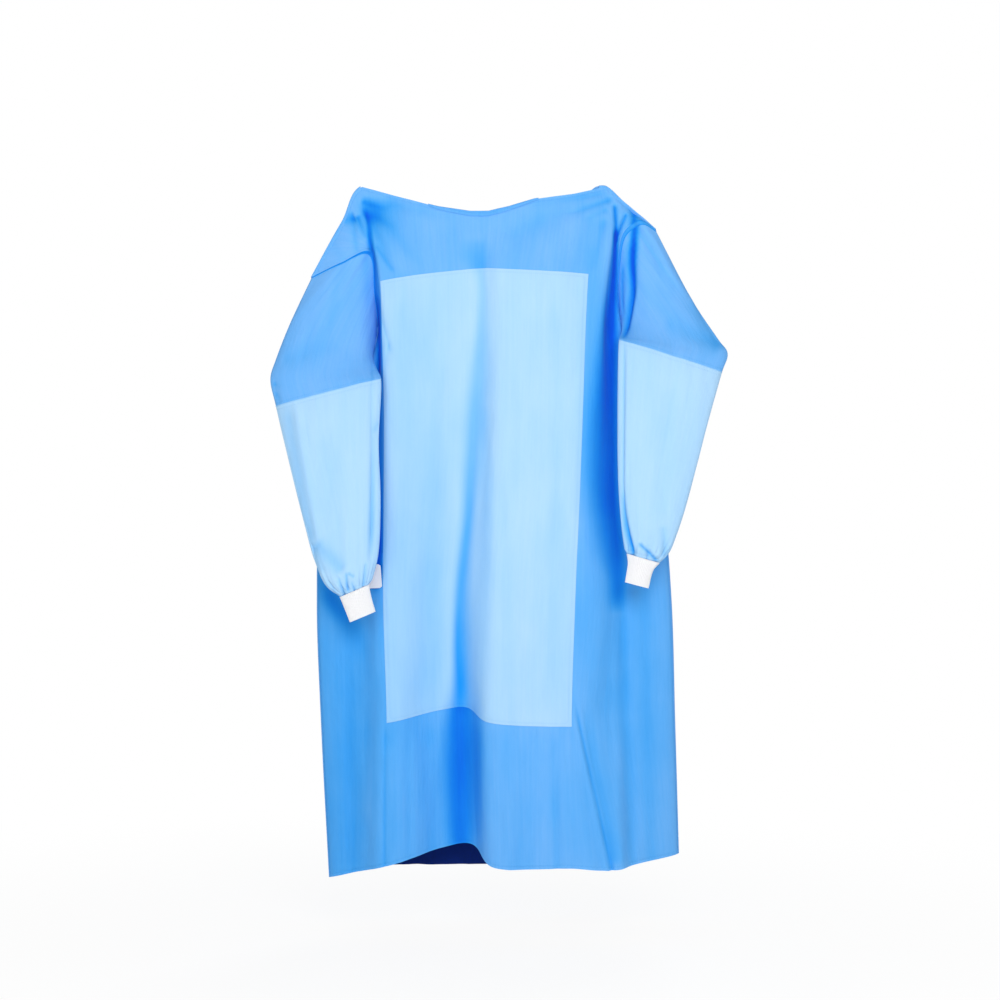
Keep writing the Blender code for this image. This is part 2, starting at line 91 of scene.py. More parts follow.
# Lines of the two back panels at the same levels, mm
BACK_LINES = {
    "armhole_r": ((-322, 1, -169), (-268, 26, -158), (-226, 40, -150), (-208, 38, -205), (-201, 16, -283)),
    "blade_r": ((-262, 1, -48), (-250, 30, -105), (-222, 50, -150), (-206, 60, -215), (-204, 66, -300),
                (-232, 72, -435), (-254, 74, -588), (-262, 74, -777), (-258, 72, -1010), (-248, 68, -1290)),
    "fall_r": ((-222, 1, -2), (-206, 24, -66), (-176, 44, -130), (-158, 58, -200), (-140, 70, -300),
               (-120, 80, -432), (-100, 84, -585), (-92, 84, -775), (-90, 82, -1010), (-88, 78, -1286)),
    "edge_r": ((-150, 24, -112), (-132, 36, -150), (-108, 48, -192), (-86, 58, -246), (-56, 68, -330),
               (-16, 76, -450), (18, 80, -600), (38, 80, -785), (48, 78, -1015), (54, 74, -1284)),
    "armhole_l": ((322, 1, -79), (296, 26, -86), (268, 40, -96), (257, 38, -158), (256, 16, -234)),
    "blade_l": ((274, 1, -26), (262, 30, -66), (250, 50, -104), (246, 62, -172), (252, 70, -260),
                (274, 80, -405), (292, 84, -588), (300, 84, -777), (304, 82, -1010), (304, 78, -1254)),
    "fall_l": ((222, 1, -2), (208, 24, -58), (184, 46, -112), (172, 64, -186), (160, 80, -286),
               (148, 92, -425), (134, 97, -588), (128, 97, -777), (126, 95, -1010), (126, 91, -1262)),
    "edge_l": ((150, 26, -108), (134, 40, -146), (112, 56, -188), (90, 70, -242), (60, 82, -328),
               (20, 92, -450), (-16, 97, -600), (-36, 97, -785), (-46, 95, -1015), (-52, 91, -1274)),
}
BACK_STEPS = (4, 3, 5)

# Sleeve sections below the armhole: outer edge x z, inner edge x z, middle y, depth, mm
SLEEVE_SECTIONS = {
    "r": (
        ("upper", (-358, -249), (-207, -322), -12, 56),
        ("above", (-387, -327), (-199, -344), -31, 55),
        ("elbow", (-396, -362), (-196, -350), -40, 54),
        ("join", (-384, -415), (-190, -364), -56, 50),
        ("forearm", (-361, -504), (-193, -480), -80, 42),
        ("lower", (-327, -636), (-189, -590), -98, 38),
        ("puff", (-309, -700), (-193, -686), -104, 42),
        ("gather", (-287, -746), (-203, -727), -106, 44),
        ("wrist", (-262, -765), (-210, -743), -108, 32),
    ),
    "l": (
        ("upper", (393, -217), (260, -262), -10, 56),
        ("above", (438, -289), (257, -278), -31, 55),
        ("elbow", (454, -315), (255, -283), -40, 54),
        ("join", (442, -352), (252, -292), -56, 50),
        ("forearm", (411, -456), (248, -432), -80, 42),
        ("lower", (373, -597), (249, -560), -98, 38),
        ("puff", (354, -655), (255, -640), -104, 42),
        ("gather", (339, -688), (260, -672), -106, 44),
        ("wrist", (323, -703), (264, -686), -108, 32),
    ),
}
UPPER_STEPS = (3, 2, 1, 1)
FOREARM_STEPS = (2, 3, 2, 2, 1)
FINE_ALONG = 8
SLEEVE_SIDES = 168
# The cuff's sections in the same columns, after the sleeve's last one, and its knit ribs
CUFF_SECTIONS = {
    "r": (
        ("neck", (-254, -784), (-206, -765), -108, 25),
        ("end", (-243, -812), (-198, -793), -108, 22),
    ),
    "l": (
        ("neck", (311, -717), (266, -704), -108, 25),
        ("end", (302, -750), (261, -739), -108, 22),
    ),
}
CUFF_STEPS = (10, 16)
CUFF_RIBS = 46
RIB_SIDES = 6
RIB_HEIGHT = 0.45 * MM

# Straight creases. Columns: start x z, end x z, half width, depth at each end, crispness from 1
# sharp to 2 soft, and tone, the painted shade there, how far the cloth takes its deep colour; mm, minus stands
# forward.
# The first table repeats the folds of the solids.
LARGE_FOLDS = (
    ("hem left of panel", (-176, -1010), (-176, -1270), 20, 5, 9, 2.0, 0.06),
    ("hem drag left", (172, -980), (232, -1275), 22, 3, 14, 2.0, 0.02),
    ("hold drag right", (-214, -30), (-176, -190), 22, 7, 3, 2.0, 0.10),
    ("hold fan right", (-190, -20), (-120, -150), 24, 6, 2, 2.0, 0.05),
    ("neck drag left", (196, -22), (60, -92), 22, 6, 3, 2.0, 0.05),
    ("hold fan left", (206, -60), (178, -200), 20, 5, 2, 2.0, 0.05),
    ("long right", (-108, -230), (-112, -960), 34, 4, 7, 2.0, 0.04),
    ("long left", (104, -220), (92, -960), 34, 3, 6, 2.0, 0.0),
    ("skirt right", (-100, -1010), (-92, -1270), 26, 5, 12, 2.0, 0.08),
    ("skirt left", (96, -1010), (84, -1270), 30, 3, 9, 2.0, 0.0),
)
FRONT_CREASES = (
    ("pinch under the right hold", (-228, -28), (-176, -44), 8, 5, 0, 1.7, 0.45),
    ("fan below it", (-226, -44), (-158, -84), 10, 5, 0, 1.7, 0.25),
    ("triangle fold", (-238, -56), (-222, -92), 7, 6, 2, 1.5, 0.4),
    ("triangle side", (-262, -66), (-244, -58), 9, 3, 5, 1.7, 0.3),
    ("right fan one", (-214, -52), (-172, -156), 8, 5, 1, 1.6, 0.16),
    ("right fan two", (-204, -46), (-130, -138), 14, 4, 1, 1.8, 0.10),
    ("fine yoke crease", (-202, -112), (-172, -156), 4, 3, 2, 1.5, 0.12),
    ("drag to the neck", (-180, -30), (-60, -60), 12, 3, 0.5, 2.0, 0.08),
    ("arc under the left hold", (240, -24), (170, -50), 7, 6, 1, 1.6, 0.26),
    ("arc below it", (232, -44), (180, -66), 7, 4, 0, 1.6, 0.14),
    ("along the neck left", (228, -12), (100, -34), 7, 3.5, 0.5, 1.8, 0.12),
    ("left fan", (226, -62), (208, -150), 8, 4, 1, 1.8, 0.10),
    ("shoulder fork one", (246, -36), (250, -96), 4, 5, 5, 1.5, 0.5),
    ("shoulder fork two", (268, -52), (253, -88), 3.5, 4, 5, 1.5, 0.4),
    ("pleat above the seam", (284, -30), (283, -76), 8, 5, 9, 1.6, 0.75),
    ("shoulder right one", (-248, -50), (-238, -118), 6, 4, 2, 1.7, 0.16),
    ("shoulder right two", (-290, -96), (-262, -138), 9, 3, 2, 1.8, 0.05),
    ("hem diagonal ridge", (166, -975), (230, -1270), 5, -3, -5, 1.4, 0.0),
    ("hem diagonal fall", (171, -975), (237, -1270), 4, 4, 6, 1.4, 0.16),
    ("panel diagonal", (-200, -205), (-176, -300), 4, 3, 3, 1.5, 0.14),
    ("panel diagonal foot", (-176, -300), (-182, -336), 4, 3, 1, 1.5, 0.10),
    ("panel streak one", (-150, -200), (-146, -700), 16, 1.6, 1.2, 2.0, 0.05),
    ("panel streak two", (-84, -320), (-96, -900), 18, 1.8, 2.2, 2.0, 0.03),
    ("panel streak three", (70, -190), (62, -560), 14, 1.2, 1.2, 2.0, 0.0),
    ("panel streak four", (138, -200), (130, -900), 16, 1.4, 1.6, 2.0, 0.05),
    ("panel streak five", (36, -560), (52, -960), 14, 1.5, 2.6, 2.0, 0.04),
    ("side streak one", (262, -760), (272, -1255), 12, 3, 4, 2.0, 0.0),
    ("side streak two", (300, -700), (312, -1250), 11, 3, 3, 2.0, 0.08),
    ("side ridge", (246, -860), (256, -1255), 9, -2, -3, 2.0, 0.0),
    ("right side streak", (-262, -780), (-246, -1285), 18, 3, 5, 2.0, 0.05),
    ("skirt line right", (-181, -1005), (-182, -1266), 3, 1.6, 2, 1.4, 0.10),
    ("skirt streak one", (-140, -1020), (-136, -1266), 9, 1.2, 2.4, 2.0, 0.05),
    ("skirt streak two", (52, -1020), (50, -1262), 10, -1.5, -3, 2.0, 0.0),
    ("skirt streak three", (132, -1020), (136, -1266), 10, 1.5, 4, 2.0, 0.05),
)
# Long falls that bend on their way down. Rows: z, x, half width to -X, half width to +X, depth, tone, the painted
# shade there; falls of little or no depth are painted shade alone
FRONT_FALLS = {
    "centre": (
        (-90, -8, 30, 15, 1, 0.0), (-132, -8, 30, 15, 3, 0.16), (-165, -4, 14, 10, 3, 0.16),
        (-200, -2, 10, 10, 3, 0.18), (-290, -5, 12, 16, 3.5, 0.27), (-402, -12, 18, 22, 4, 0.34),
        (-514, -21, 17, 18, 4, 0.42), (-626, -28, 13, 12, 5, 0.58), (-737, -40, 13, 17, 6, 0.62),
        (-849, -47, 10, 24, 8, 0.75), (-942, -44, 14, 22, 8, 0.82), (-998, -44, 22, 28, 9, 0.62),
        (-1035, -44, 25, 31, 9, 0.66), (-1147, -44, 25, 31, 9, 0.62), (-1221, -42, 24, 24, 6, 0.58),
        (-1262, -38, 20, 16, 4, 0.5),
    ),
    "beside the centre": (
        (-400, 4, 10, 10, 0, 0.0), (-460, 6, 10, 10, 1, 0.12), (-626, 6, 16, 14, 1.5, 0.16),
        (-800, 0, 20, 16, 2, 0.14), (-960, -8, 16, 12, 2, 0.10), (-1100, -10, 8, 8, 2, 0.14),
        (-1250, -10, 6, 6, 1, 0.0),
    ),
    "shade left of the centre": (
        (-380, -81, 90, 30, 0, 0.0), (-514, -81, 90, 28, 1, 0.08), (-626, -85, 95, 30, 1, 0.10),
        (-849, -90, 100, 30, 2, 0.14), (-960, -95, 110, 35, 2, 0.14), (-1040, -95, 120, 40, 1, 0.06),
        (-1270, -95, 120, 40, 1, 0.04),
    ),
    "shade of the panel's top": (
        (-150, -140, 50, 70, 0, 0.0), (-230, -140, 60, 70, 0, 0.08), (-420, -140, 60, 60, 0, 0.05),
        (-540, -140, 60, 60, 0, 0.0),
    ),
    "slit left": (
        (-70, 247, 3, 4, 0, 0.0), (-91, 247, 4, 5, 4, 0.9), (-138, 246, 6, 7, 6, 0.95),
        (-194, 243, 9, 9, 7, 0.9), (-251, 240, 15, 12, 8, 0.85), (-307, 241, 21, 12, 8, 0.70),
        (-400, 239, 31, 14, 8, 0.70), (-494, 240, 38, 14, 8, 0.70), (-588, 241, 38, 14, 8, 0.70),
        (-681, 249, 30, 16, 6, 0.58), (-735, 250, 19, 17, 5, 0.48), (-770, 249, 17, 16, 3, 0.40),
        (-800, 248, 16, 14, 0, 0.0),
    ),
    "strip beside the panel": (
        (-100, 200, 12, 44, 0, 0.0), (-180, 210, 20, 40, 0, 0.10), (-330, 210, 26, 40, 0, 0.20),
        (-560, 205, 26, 40, 0, 0.12), (-720, 205, 26, 40, 0, 0.0),
    ),
    "strip right": (
        (-200, -201, 8, 6, 2, 0.0), (-290, -196, 9, 9, 5, 0.45), (-340, -195, 9, 9, 8, 0.62),
        (-402, -195, 9, 9, 8, 0.52), (-514, -194, 9, 9, 8, 0.66), (-600, -194, 9, 9, 8, 0.85),
        (-690, -194, 9, 9, 7, 0.85), (-735, -196, 8, 8, 3, 0.5), (-770, -202, 8, 6, 0, 0.0),
    ),
    "valley from the right hold": (
        (-36, -226, 5, 7, 3, 0.45), (-70, -216, 4, 6, 4, 0.5), (-100, -213, 5, 6, 4, 0.62),
        (-140, -208, 5, 7, 5, 0.55), (-190, -203, 6, 6, 5, 0.40), (-250, -198, 5, 5, 5, 0.40),
        (-350, -194, 4, 4, 2, 0.2),
    ),
    "shade from the right hold": (
        (-16, -212, 14, 40, 0, 0.10), (-40, -205, 20, 44, 2, 0.20), (-80, -190, 26, 50, 1, 0.06),
        (-130, -180, 30, 50, 0, 0.02), (-190, -176, 24, 40, 0, 0.0),
    ),
    "shade under the right cuff": (
        (-706, -300, 20, 22, 0, 0.0), (-740, -294, 20, 22, 2, 0.22), (-774, -284, 20, 20, 3, 0.42),
        (-802, -267, 22, 24, 2, 0.34), (-830, -246, 24, 24, 1, 0.16), (-868, -226, 24, 20, 1, 0.08),
        (-930, -220, 20, 20, 0, 0.0),
    ),
    "right flank shade": (
        (-540, -290, 70, 110, 0, 0.0), (-680, -280, 80, 100, 1, 0.18), (-900, -270, 90, 100, 1, 0.20),
        (-1100, -270, 90, 100, 1, 0.20), (-1297, -270, 80, 90, 1, 0.20),
    ),
    "left flank shade": (
        (-620, 260, 110, 120, 0, 0.0), (-760, 262, 110, 120, 1, 0.15), (-960, 262, 110, 120, 1, 0.14),
        (-1040, 285, 90, 90, 1, 0.10), (-1150, 292, 84, 80, 1, 0.10), (-1262, 300, 80, 70, 1, 0.08),
    ),
    "skirt shade": (
        (-990, 60, 260, 220, 0, 0.0), (-1030, 60, 260, 220, 0, 0.05), (-1270, 60, 260, 220, 0, 0.05),
    ),
    "dark right of the hem diagonal": (
        (-960, 184, 4, 12, 1, 0.0), (-1040, 196, 4, 14, 3, 0.06), (-1180, 226, 4, 16, 4, 0.09),
        (-1255, 242, 5, 14, 3, 0.09),
    ),
}
# Creases of the two back panels, in the columns of the straight creases, pressed towards the front
BACK_CREASES = (
    ("blade right long", (-196, -90), (-168, -1180), 18, -4, -8, 2.0, 0.0),
    ("fall right", (-150, -150), (-60, -900), 16, 5, 3, 2.0, 0.20),
    ("drag right shoulder", (-214, -24), (-120, -240), 11, 6, 2, 1.7, 0.34),
    ("drag right edge", (-204, -30), (-80, -330), 9, 4, 1, 1.7, 0.26),
    ("skirt right one", (-210, -700), (-214, -1280), 13, 2, 7, 2.0, 0.27),
    ("skirt right two", (-120, -800), (-128, -1280), 15, -2, -8, 2.0, 0.0),
    ("skirt right three", (-30, -760), (-22, -1280), 13, 2, 6, 2.0, 0.24),
    ("blade left long", (206, -70), (196, -1180), 18, -4, -8, 2.0, 0.0),
    ("fall left", (164, -130), (84, -900), 15, 5, 3, 2.0, 0.20),
    ("drag left shoulder", (214, -24), (130, -230), 11, 6, 2, 1.7, 0.34),
    ("drag left edge", (206, -30), (84, -320), 9, 4, 1, 1.7, 0.26),
    ("skirt left one", (258, -660), (264, -1250), 13, 2, 7, 2.0, 0.27),
    ("skirt left two", (160, -760), (152, -1262), 15, -2, -8, 2.0, 0.0),
    ("skirt left three", (52, -780), (44, -1262), 13, 2, 6, 2.0, 0.24),
    ("skirt left four", (-10, -620), (-18, -1262), 10, -1, -4, 2.0, 0.0),
)
# Heights in mm between which the inner side of the backs goes over to a painted navy shadow, down to the hem
INNER_SHADE = (-1000, -1200)
INNER_SHADOW_COLOUR = (0.0, 0.018, 0.17, 1)
# Creases of the sleeves, in the same columns, pressed into the face that looks forward
SLEEVE_CREASES = {
    "r": (
        ("from the armhole", (-262, -140), (-300, -330), 16, 3, 1, 2.0, 0.04),
        ("under the yoke", (-222, -128), (-216, -220), 7, 3, 1, 1.7, 0.08),
        ("beside the inner edge", (-206, -330), (-203, -640), 4, 2, 3, 1.6, 0.08),
        ("inner crinkle", (-188, -448), (-204, -462), 4, 4, 0, 1.4, 0.3),
        ("outer crinkle one", (-390, -372), (-374, -380), 4, 3, 0, 1.4, 0.15),
        ("outer crinkle two", (-386, -392), (-372, -404), 4, 3, 0, 1.4, 0.12),
        ("outer roll", (-346, -416), (-306, -640), 8, -2, -3, 1.8, 0.0),
        ("outer band", (-364, -420), (-320, -650), 14, 3, 3, 2.0, 0.16),
        ("elbow soft", (-370, -330), (-280, -300), 20, 2, 1, 2.0, 0.06),
        ("middle soft", (-290, -470), (-262, -680), 20, 2, 3, 2.0, 0.04),
        ("shade above the cuff", (-306, -668), (-262, -712), 14, 2, 2, 2.0, 0.20),
        ("outer soft puff", (-318, -672), (-296, -716), 8, 3, 2, 1.8, 0.12),
        ("wrist pleat one", (-264, -730), (-254, -762), 3, 2, 6, 1.5, 0.40),
        ("wrist pleat two", (-250, -722), (-247, -752), 2.5, 3, 5, 1.5, 0.42),
        ("wrist pleat three", (-240, -738), (-232, -758), 2.5, 2, 5, 1.5, 0.36),
        ("wrist curl", (-246, -722), (-236, -728), 2.5, 3, 2, 1.5, 0.30),
        ("wrist pleat four", (-282, -738), (-268, -764), 3, 1, 4, 1.5, 0.20),
        ("wrist pleat five", (-214, -704), (-218, -744), 3, 2, 5, 1.5, 0.30),
    ),
    "l": (
        ("thin line", (262, -150), (258, -262), 2.5, 4, 3, 1.4, 0.3),
        ("shade of the pleat", (272, -110), (266, -262), 12, 2, 2, 2.0, 0.10),
        ("top fan", (300, -80), (352, -200), 14, 3, 1, 2.0, 0.03),
        ("elbow soft", (440, -300), (350, -262), 18, 3, 1, 2.0, 0.12),
        ("elbow corner", (446, -304), (396, -226), 16, 2, 1, 2.0, 0.10),
        ("inner line", (260, -300), (256, -600), 3, 3, 3, 1.4, 0.16),
        ("inner line two", (267, -320), (262, -540), 4, -2, -2, 1.6, 0.0),
        ("slanting pleat", (285, -668), (316, -698), 3, 4, 5, 1.4, 0.60),
        ("soft pleat", (330, -636), (334, -690), 8, 2, 5, 1.7, 0.24),
        ("middle soft", (350, -380), (320, -600), 20, 2, 3, 2.0, 0.03),
        ("wrist pleat one", (302, -668), (300, -694), 3, 1, 4, 1.5, 0.16),
        ("wrist pleat two", (263, -668), (262, -690), 2.5, 2, 4, 1.5, 0.2),
    ),
}
SLEEVE_FALLS = {
    "r": {
        "shade of the inner edge": (
            (-420, -196, 5, 4, 1, 0.0), (-520, -200, 6, 5, 2, 0.10), (-640, -203, 7, 5, 3, 0.18),
            (-700, -206, 6, 5, 2, 0.0),
        ),
    },
    "l": {
        "long pleat": (
            (-50, 284, 6, 8, 6, 0.5), (-91, 283, 7, 7, 10, 0.85), (-138, 279, 7, 7, 12, 0.88),
            (-194, 278, 5, 6, 12, 0.68), (-230, 272, 6, 6, 10, 0.52), (-262, 266, 5, 6, 6, 0.5),
            (-288, 259, 4, 6, 2, 0.2),
        ),
        "pleat above the cuff": (
            (-560, 255, 4, 4, 1, 0.0), (-607, 257, 5, 5, 4, 0.34), (-643, 262, 6, 5, 8, 0.72),
            (-680, 271, 5, 5, 9, 0.80), (-694, 273, 5, 5, 7, 0.5),
        ),
    },
}
# The creases on the back of a sleeve lie this much lower than those on its front
BEHIND_SHIFT = 13 * MM
# Share of the creases that the back of a sleeve takes, in depth and in tone, the painted shade
BEHIND_SHARE = 0.8
BEHIND_TONE = 0.5
# Small waves that no cloth is without: wave length across and down, height, turn, mm and radians
RIPPLES = ((86, 610, 0.7, 0.04), (53, 420, 0.4, -0.05), (38, 300, 0.22, 0.09), (131, 240, 0.5, 0.6),
           (27, 180, 0.1, -0.12))
# Where the waves of each cloth start, so that no two are alike
RIPPLE_PHASES = {"front": 0.7, "back_r": 2.4, "back_l": 4.1, "sleeve_r": 5.0, "sleeve_l": 1.2}
# Creases fade out towards the holds over this height, and small ones towards the side seams: from the
# middle at this x, past this reach, over this run, down to this least share
HOLD_FADE = 50 * MM
EDGE_EASE = (20 * MM, 290 * MM, 30 * MM, 0.15)
# Gathers above a cuff: waves round the sleeve as count, turn, height; then how strong they are at a
# number of sections before the sleeve's end
GATHER_WAVES = ((9, 0.0, 0.6), (17, 1.1, 0.6), (26, 2.3, 0.5))
GATHER_RISE = ((3.2, 0), (1.4, 0.5), (0.6, 1.0), (0, 0))
GATHER_HEIGHT = 1.5 * MM
PUFF_WAVES = ((5, 0.6, 0.5),)
PUFF_RISE = ((7, 0), (3, 1), (0, 0))
PUFF_HEIGHT = 1.6 * MM
# At the seam between the two cuts of a sleeve the creases ease by this share, over this run of sections
JOIN_EASE = (0.4, 0.12)

# Tone, the share of a cloth's deep colour: of flat cloth, of small hollows (painted shade), of the weld marks, of
# a seam's middle and edges, and of cloth that turns away (painted shade; layer weight from, to, tone from, to)
PALE_TONE = 0.05
HOLLOW_SHADE = 0.12
# A hollow of this depth takes its painted shade in full, seen against the cloth smoothed this many times
HOLLOW_DEPTH = 4 * MM
HOLLOW_ROUNDS = 18
MARK_TONE = 0.04
MARK_DEPTH = 0.15 * MM
ARMHOLE_TONES = {
    "r": (0.3, 0.42, 0.55, 0.6, 0.55, 0.42, 0.3),
    "l": (0.6, 0.48, 0.3, 0.25, 0.3, 0.48, 0.6),
}
CROSS_SEAM_TONE = 0.14
TURNED_SHADE = (0.45, 0.95, 0.0, 0.16)

# Finishes of the nonwoven: material, pale colour, deep colour (the colour of its painted shade), the power by
# which red is lost in that shade, then the strength of streaks, bond dots and crumple, and what is added to the
# roughness
BODY_COLOURS = ((0.185, 0.455, 0.893, 1), (0.0, 0.100, 0.700, 1), 2.4)
PANEL_COLOURS = ((0.414, 0.649, 0.890, 1), (0.0, 0.270, 0.840, 1), 0.4)
BINDING_COLOURS = ((0.140, 0.420, 0.860, 1), (0.0, 0.080, 0.740, 1), 2.4)
CLOTH_FINISHES = {
    "body": ("body_blue", *BODY_COLOURS, 0.045, 0.8, 1.0, 0.0),
    "panel": ("panel_light_blue", *PANEL_COLOURS, 0.035, 0.3, 0.7, -0.05),
    "sleeve": ("sleeve_light_blue", *PANEL_COLOURS, 0.035, 0.4, 1.0, -0.03),
    "binding": ("binding_blue", *BINDING_COLOURS, 0.06, 0.6, 0.6, 0.0),
}
# Spacing of the bond dots across and down the cloth
DOT_PITCH = (2.1 * MM, 1.7 * MM)

# Neck binding, closing tabs and belt
BINDING_DEPTH = 9 * MM
BINDING_END_DEPTH = 3 * MM
BINDING_REACH = 104 * MM
TAB_DROP = 8 * MM
TAB_INSET = 2 * MM
TAB_WIDTH = 27 * MM
TAB_LENGTH = 60 * MM
BELT_WIDTH = 24 * MM
BELT_Z = -698 * MM
BELT_EASE = 0.5 * MM
# Raised seams: width, height of the crest over the edges, and the row of the sleeve that they lie on
ARMHOLE_WIDTHS = {"r": 6 * MM, "l": 8 * MM}
ARMHOLE_HEIGHT = 1.3 * MM
ARMHOLE_ROW = 0.2
CROSS_SEAM_WIDTH = 2.2 * MM
CROSS_SEAM_HEIGHT = 0.9 * MM
SIDE_SEAM_WIDTH = 7 * MM
SIDE_SEAM_HEIGHT = 0.36 * MM
SIDE_SEAM_LIFT = CLOTH / 2 + 0.3 * MM
SHOULDER_FOLD_DEPTH = 7 * MM
SHOULDER_FOLD_AWAY = 2.6 * MM
# Stitches of the neck binding: a short thread of few sides and rings
STITCH_PITCH = 3.2 * MM
STITCH_LENGTH = 2.3 * MM
STITCH_RADIUS = 0.24 * MM
STITCH_SIDES = 6
STITCH_SHAPE = (0.35, 0.9, 1, 0.9, 0.35)

# White card on the belt's end
CARD_WIDTH = 54 * MM
CARD_HEIGHT = 44 * MM
CARD_CENTRE = (-216 * MM, -731 * MM)
CARD_TILT = math.radians(4)
CARD_EASE = 0.7 * MM
CARD_CORNER = 4 * MM

# The solids that a sleeve's cloth stands for, where they are more than one
SLEEVE_SOLIDS = {name: tuple(part + half for part in parts for half in ("_front", "_back")) for name, parts in (
    ("sleeve_upper_right", ("sleeve_upper_right",)), ("sleeve_upper_left", ("sleeve_upper_left",)),
    ("sleeve_forearm_right", ("sleeve_forearm_right", "sleeve_wrist_right")),
    ("sleeve_forearm_left", ("sleeve_forearm_left",)))}

# The camera stands level in front of the gown, as far off as the photo's spread of sizes asks
CAMERA_DISTANCE = 4.2
METRES_PER_PIXEL = 0.00188
PICTURE_WIDTH = 1000
SENSOR = 36.0
CAMERA_X = 0.031
CAMERA_Z = -0.5884

# Floor: height, reach, the stretch over which it fades into the room, and where the fade starts
FLOOR_Z = -1.40
FLOOR_REACH = 9.0
FLOOR_FADE = (0.4, 1.8, 0.86)

# Strength of the white room's light on the gown, and the soft lights
WORLD_LIGHT = 0.45
# Soft lights: name, place, aimed at, width, height in metres, power in watts
LIGHTS = (
    ("key", (0.45, -3.0, 0.4), (0.0, 0.0, -0.50), 1.4, 1.4, 52),
    ("fill", (-1.5, -3.2, 0.1), (0.0, 0.0, -0.60), 1.6, 2.0, 19),
    ("back", (1.1, 3.0, 0.4), (0.0, 0.0, -0.60), 1.4, 1.4, 44),
    ("back fill", (-1.6, 2.6, 0.0), (0.0, 0.0, -0.60), 1.6, 2.0, 12),
)


def unit(vectors):
    """Vectors of length one."""
    return vectors / np.maximum(np.linalg.norm(vectors, axis=-1, keepdims=True), 1e-12)


def curve_through(keys, steps, before=None, after=None):
    """Points on a centripetal Catmull-Rom curve: in each stretch the cubic Hermite blend of its two
    keys and the slopes there, which come from root distances to the neighbouring keys."""
    keys = np.asarray(keys, float)
    first = 2 * keys[0] - keys[1] if before is None else before
    last = 2 * keys[-1] - keys[-2] if after is None else after
    line = np.concatenate([first[None], keys, last[None]])
    out = [keys[:1]]
    for i, count in enumerate(steps):
        p0, p1, p2, p3 = line[i:i + 4]
        a, b, c = [np.sqrt(np.linalg.norm(q - p, axis=-1, keepdims=True)) + 1e-5
                   for p, q in ((p0, p1), (p1, p2), (p2, p3))]
        leave = b * ((p1 - p0) / a - (p2 - p0) / (a + b)) + (p2 - p1)
        arrive = (p2 - p1) - b * ((p3 - p1) / (b + c) - (p3 - p2) / c)
        t = (np.arange(1, count + 1) / count).reshape((-1,) + (1,) * p1.ndim)
        out.append((2 * t**3 - 3 * t**2 + 1) * p1 + (t**3 - 2 * t**2 + t) * leave
                   + (3 * t**2 - 2 * t**3) * p2 + (t**3 - t**2) * arrive)
    return np.concatenate(out)


def surface(lines, level_steps, line_steps, before=None, after=None):
    """Grid (rows, columns, 3): a curve down each line, then a curve across all lines at each row."""
    down = [curve_through(line, level_steps) for line in lines]
    edges = [None if line is None else curve_through(line, level_steps) for line in (before, after)]
    return np.swapaxes(curve_through(np.array(down), line_steps, *edges), 0, 1)


def finer(steps, factor):
    """The same steps, each cut into as many small ones as the factor says."""
    return tuple(count * factor for count in steps)


def front_column(line):
    """The grid column on which a named line of the front lies."""
    return sum(FRONT_STEPS[:FRONT_ORDER.index(line)]) * FINE_ACROSS


def level_row(level):
    """The grid row on which a named level of the front or a back lies."""
    return sum(LEVEL_STEPS[:LEVELS.index(level)]) * FINE_DOWN


def creases_at(x, z, creases):
    """Depth and tone of straight creases: exp(-|distance / width| ^ crispness), times a depth that
    runs evenly from end to end, fading out smoothly past both ends; the tone, a painted shade, follows the depth."""
    depth_sum, tone_sum = np.zeros_like(x), np.zeros_like(x)
    for _, (x0, z0), (x1, z1), width, depth0, depth1, crisp, tone in creases:
        run = np.array([x1 - x0, z1 - z0]) * MM
        length = np.linalg.norm(run)
        run = run / length
        along = ((x - x0 * MM) * run[0] + (z - z0 * MM) * run[1]) / length
        across = np.abs((x - x0 * MM) * run[1] - (z - z0 * MM) * run[0]) / (width * MM)
        fade = np.clip(along * 5 + 0.5, 0, 1) * np.clip((1 - along) * 5 + 1, 0, 1)
        shape = np.exp(-across**crisp) * fade * fade * (3 - 2 * fade)
        depth = depth0 + (depth1 - depth0) * np.clip(along, 0, 1)
        depth_sum += depth * MM * shape
        tone_sum += tone * shape * np.abs(depth) / max(abs(depth0), abs(depth1))
    return depth_sum, tone_sum


def falls_at(x, z, falls):
    """Depth and tone, the painted shade, of bent falls: at each height exp(-|distance / half width| ^ 2.2) about a
    smooth curve through the table's rows, with its own half width on each side."""
    depth_sum, tone_sum = np.zeros_like(x), np.zeros_like(x)
    for rows in falls.values():
        line = curve_through(np.array(rows, float), (8,) * (len(rows) - 1))
        middle, wide_r, wide_l, depth, tone = [np.interp(-z / MM, -line[:, 0], line[:, i]) for i in range(1, 6)]
        inside = (z < line[0, 0] * MM) & (z > line[-1, 0] * MM)
        off = x / MM - middle
        shape = np.exp(-(np.abs(off) / np.where(off < 0, wide_r, wide_l)) ** 2.2)
        ends = np.clip((line[0, 0] - z / MM) / 20, 0, 1) * np.clip((z / MM - line[-1, 0]) / 20 + 0.5, 0, 1)
        depth_sum += depth * MM * shape * ends * inside
        tone_sum += np.clip(tone, 0, None) * shape * ends * inside
    return depth_sum, tone_sum


def pressed_in(x, z, creases, falls):
    """Depth and tone, the painted shade, of all creases and falls of a cloth together."""
    straight, bent = creases_at(x, z, creases), falls_at(x, z, falls)
    return straight[0] + bent[0], straight[1] + bent[1]


def ripple_depth(x, z, phase):
    """Sum of long sine waves, each turned a little, with its own shift."""
    total = np.zeros_like(x)
    for i, (across, down, height, turn) in enumerate(RIPPLES):
        u = x * math.cos(turn) - z * math.sin(turn)
        v = x * math.sin(turn) + z * math.cos(turn)
        sway = 1.7 * np.sin(2 * math.pi * v / (down * MM) + phase + 2.1 * i)
        total += height * MM * np.sin(2 * math.pi * u / (across * MM) + sway + phase * (i + 1))
    return total


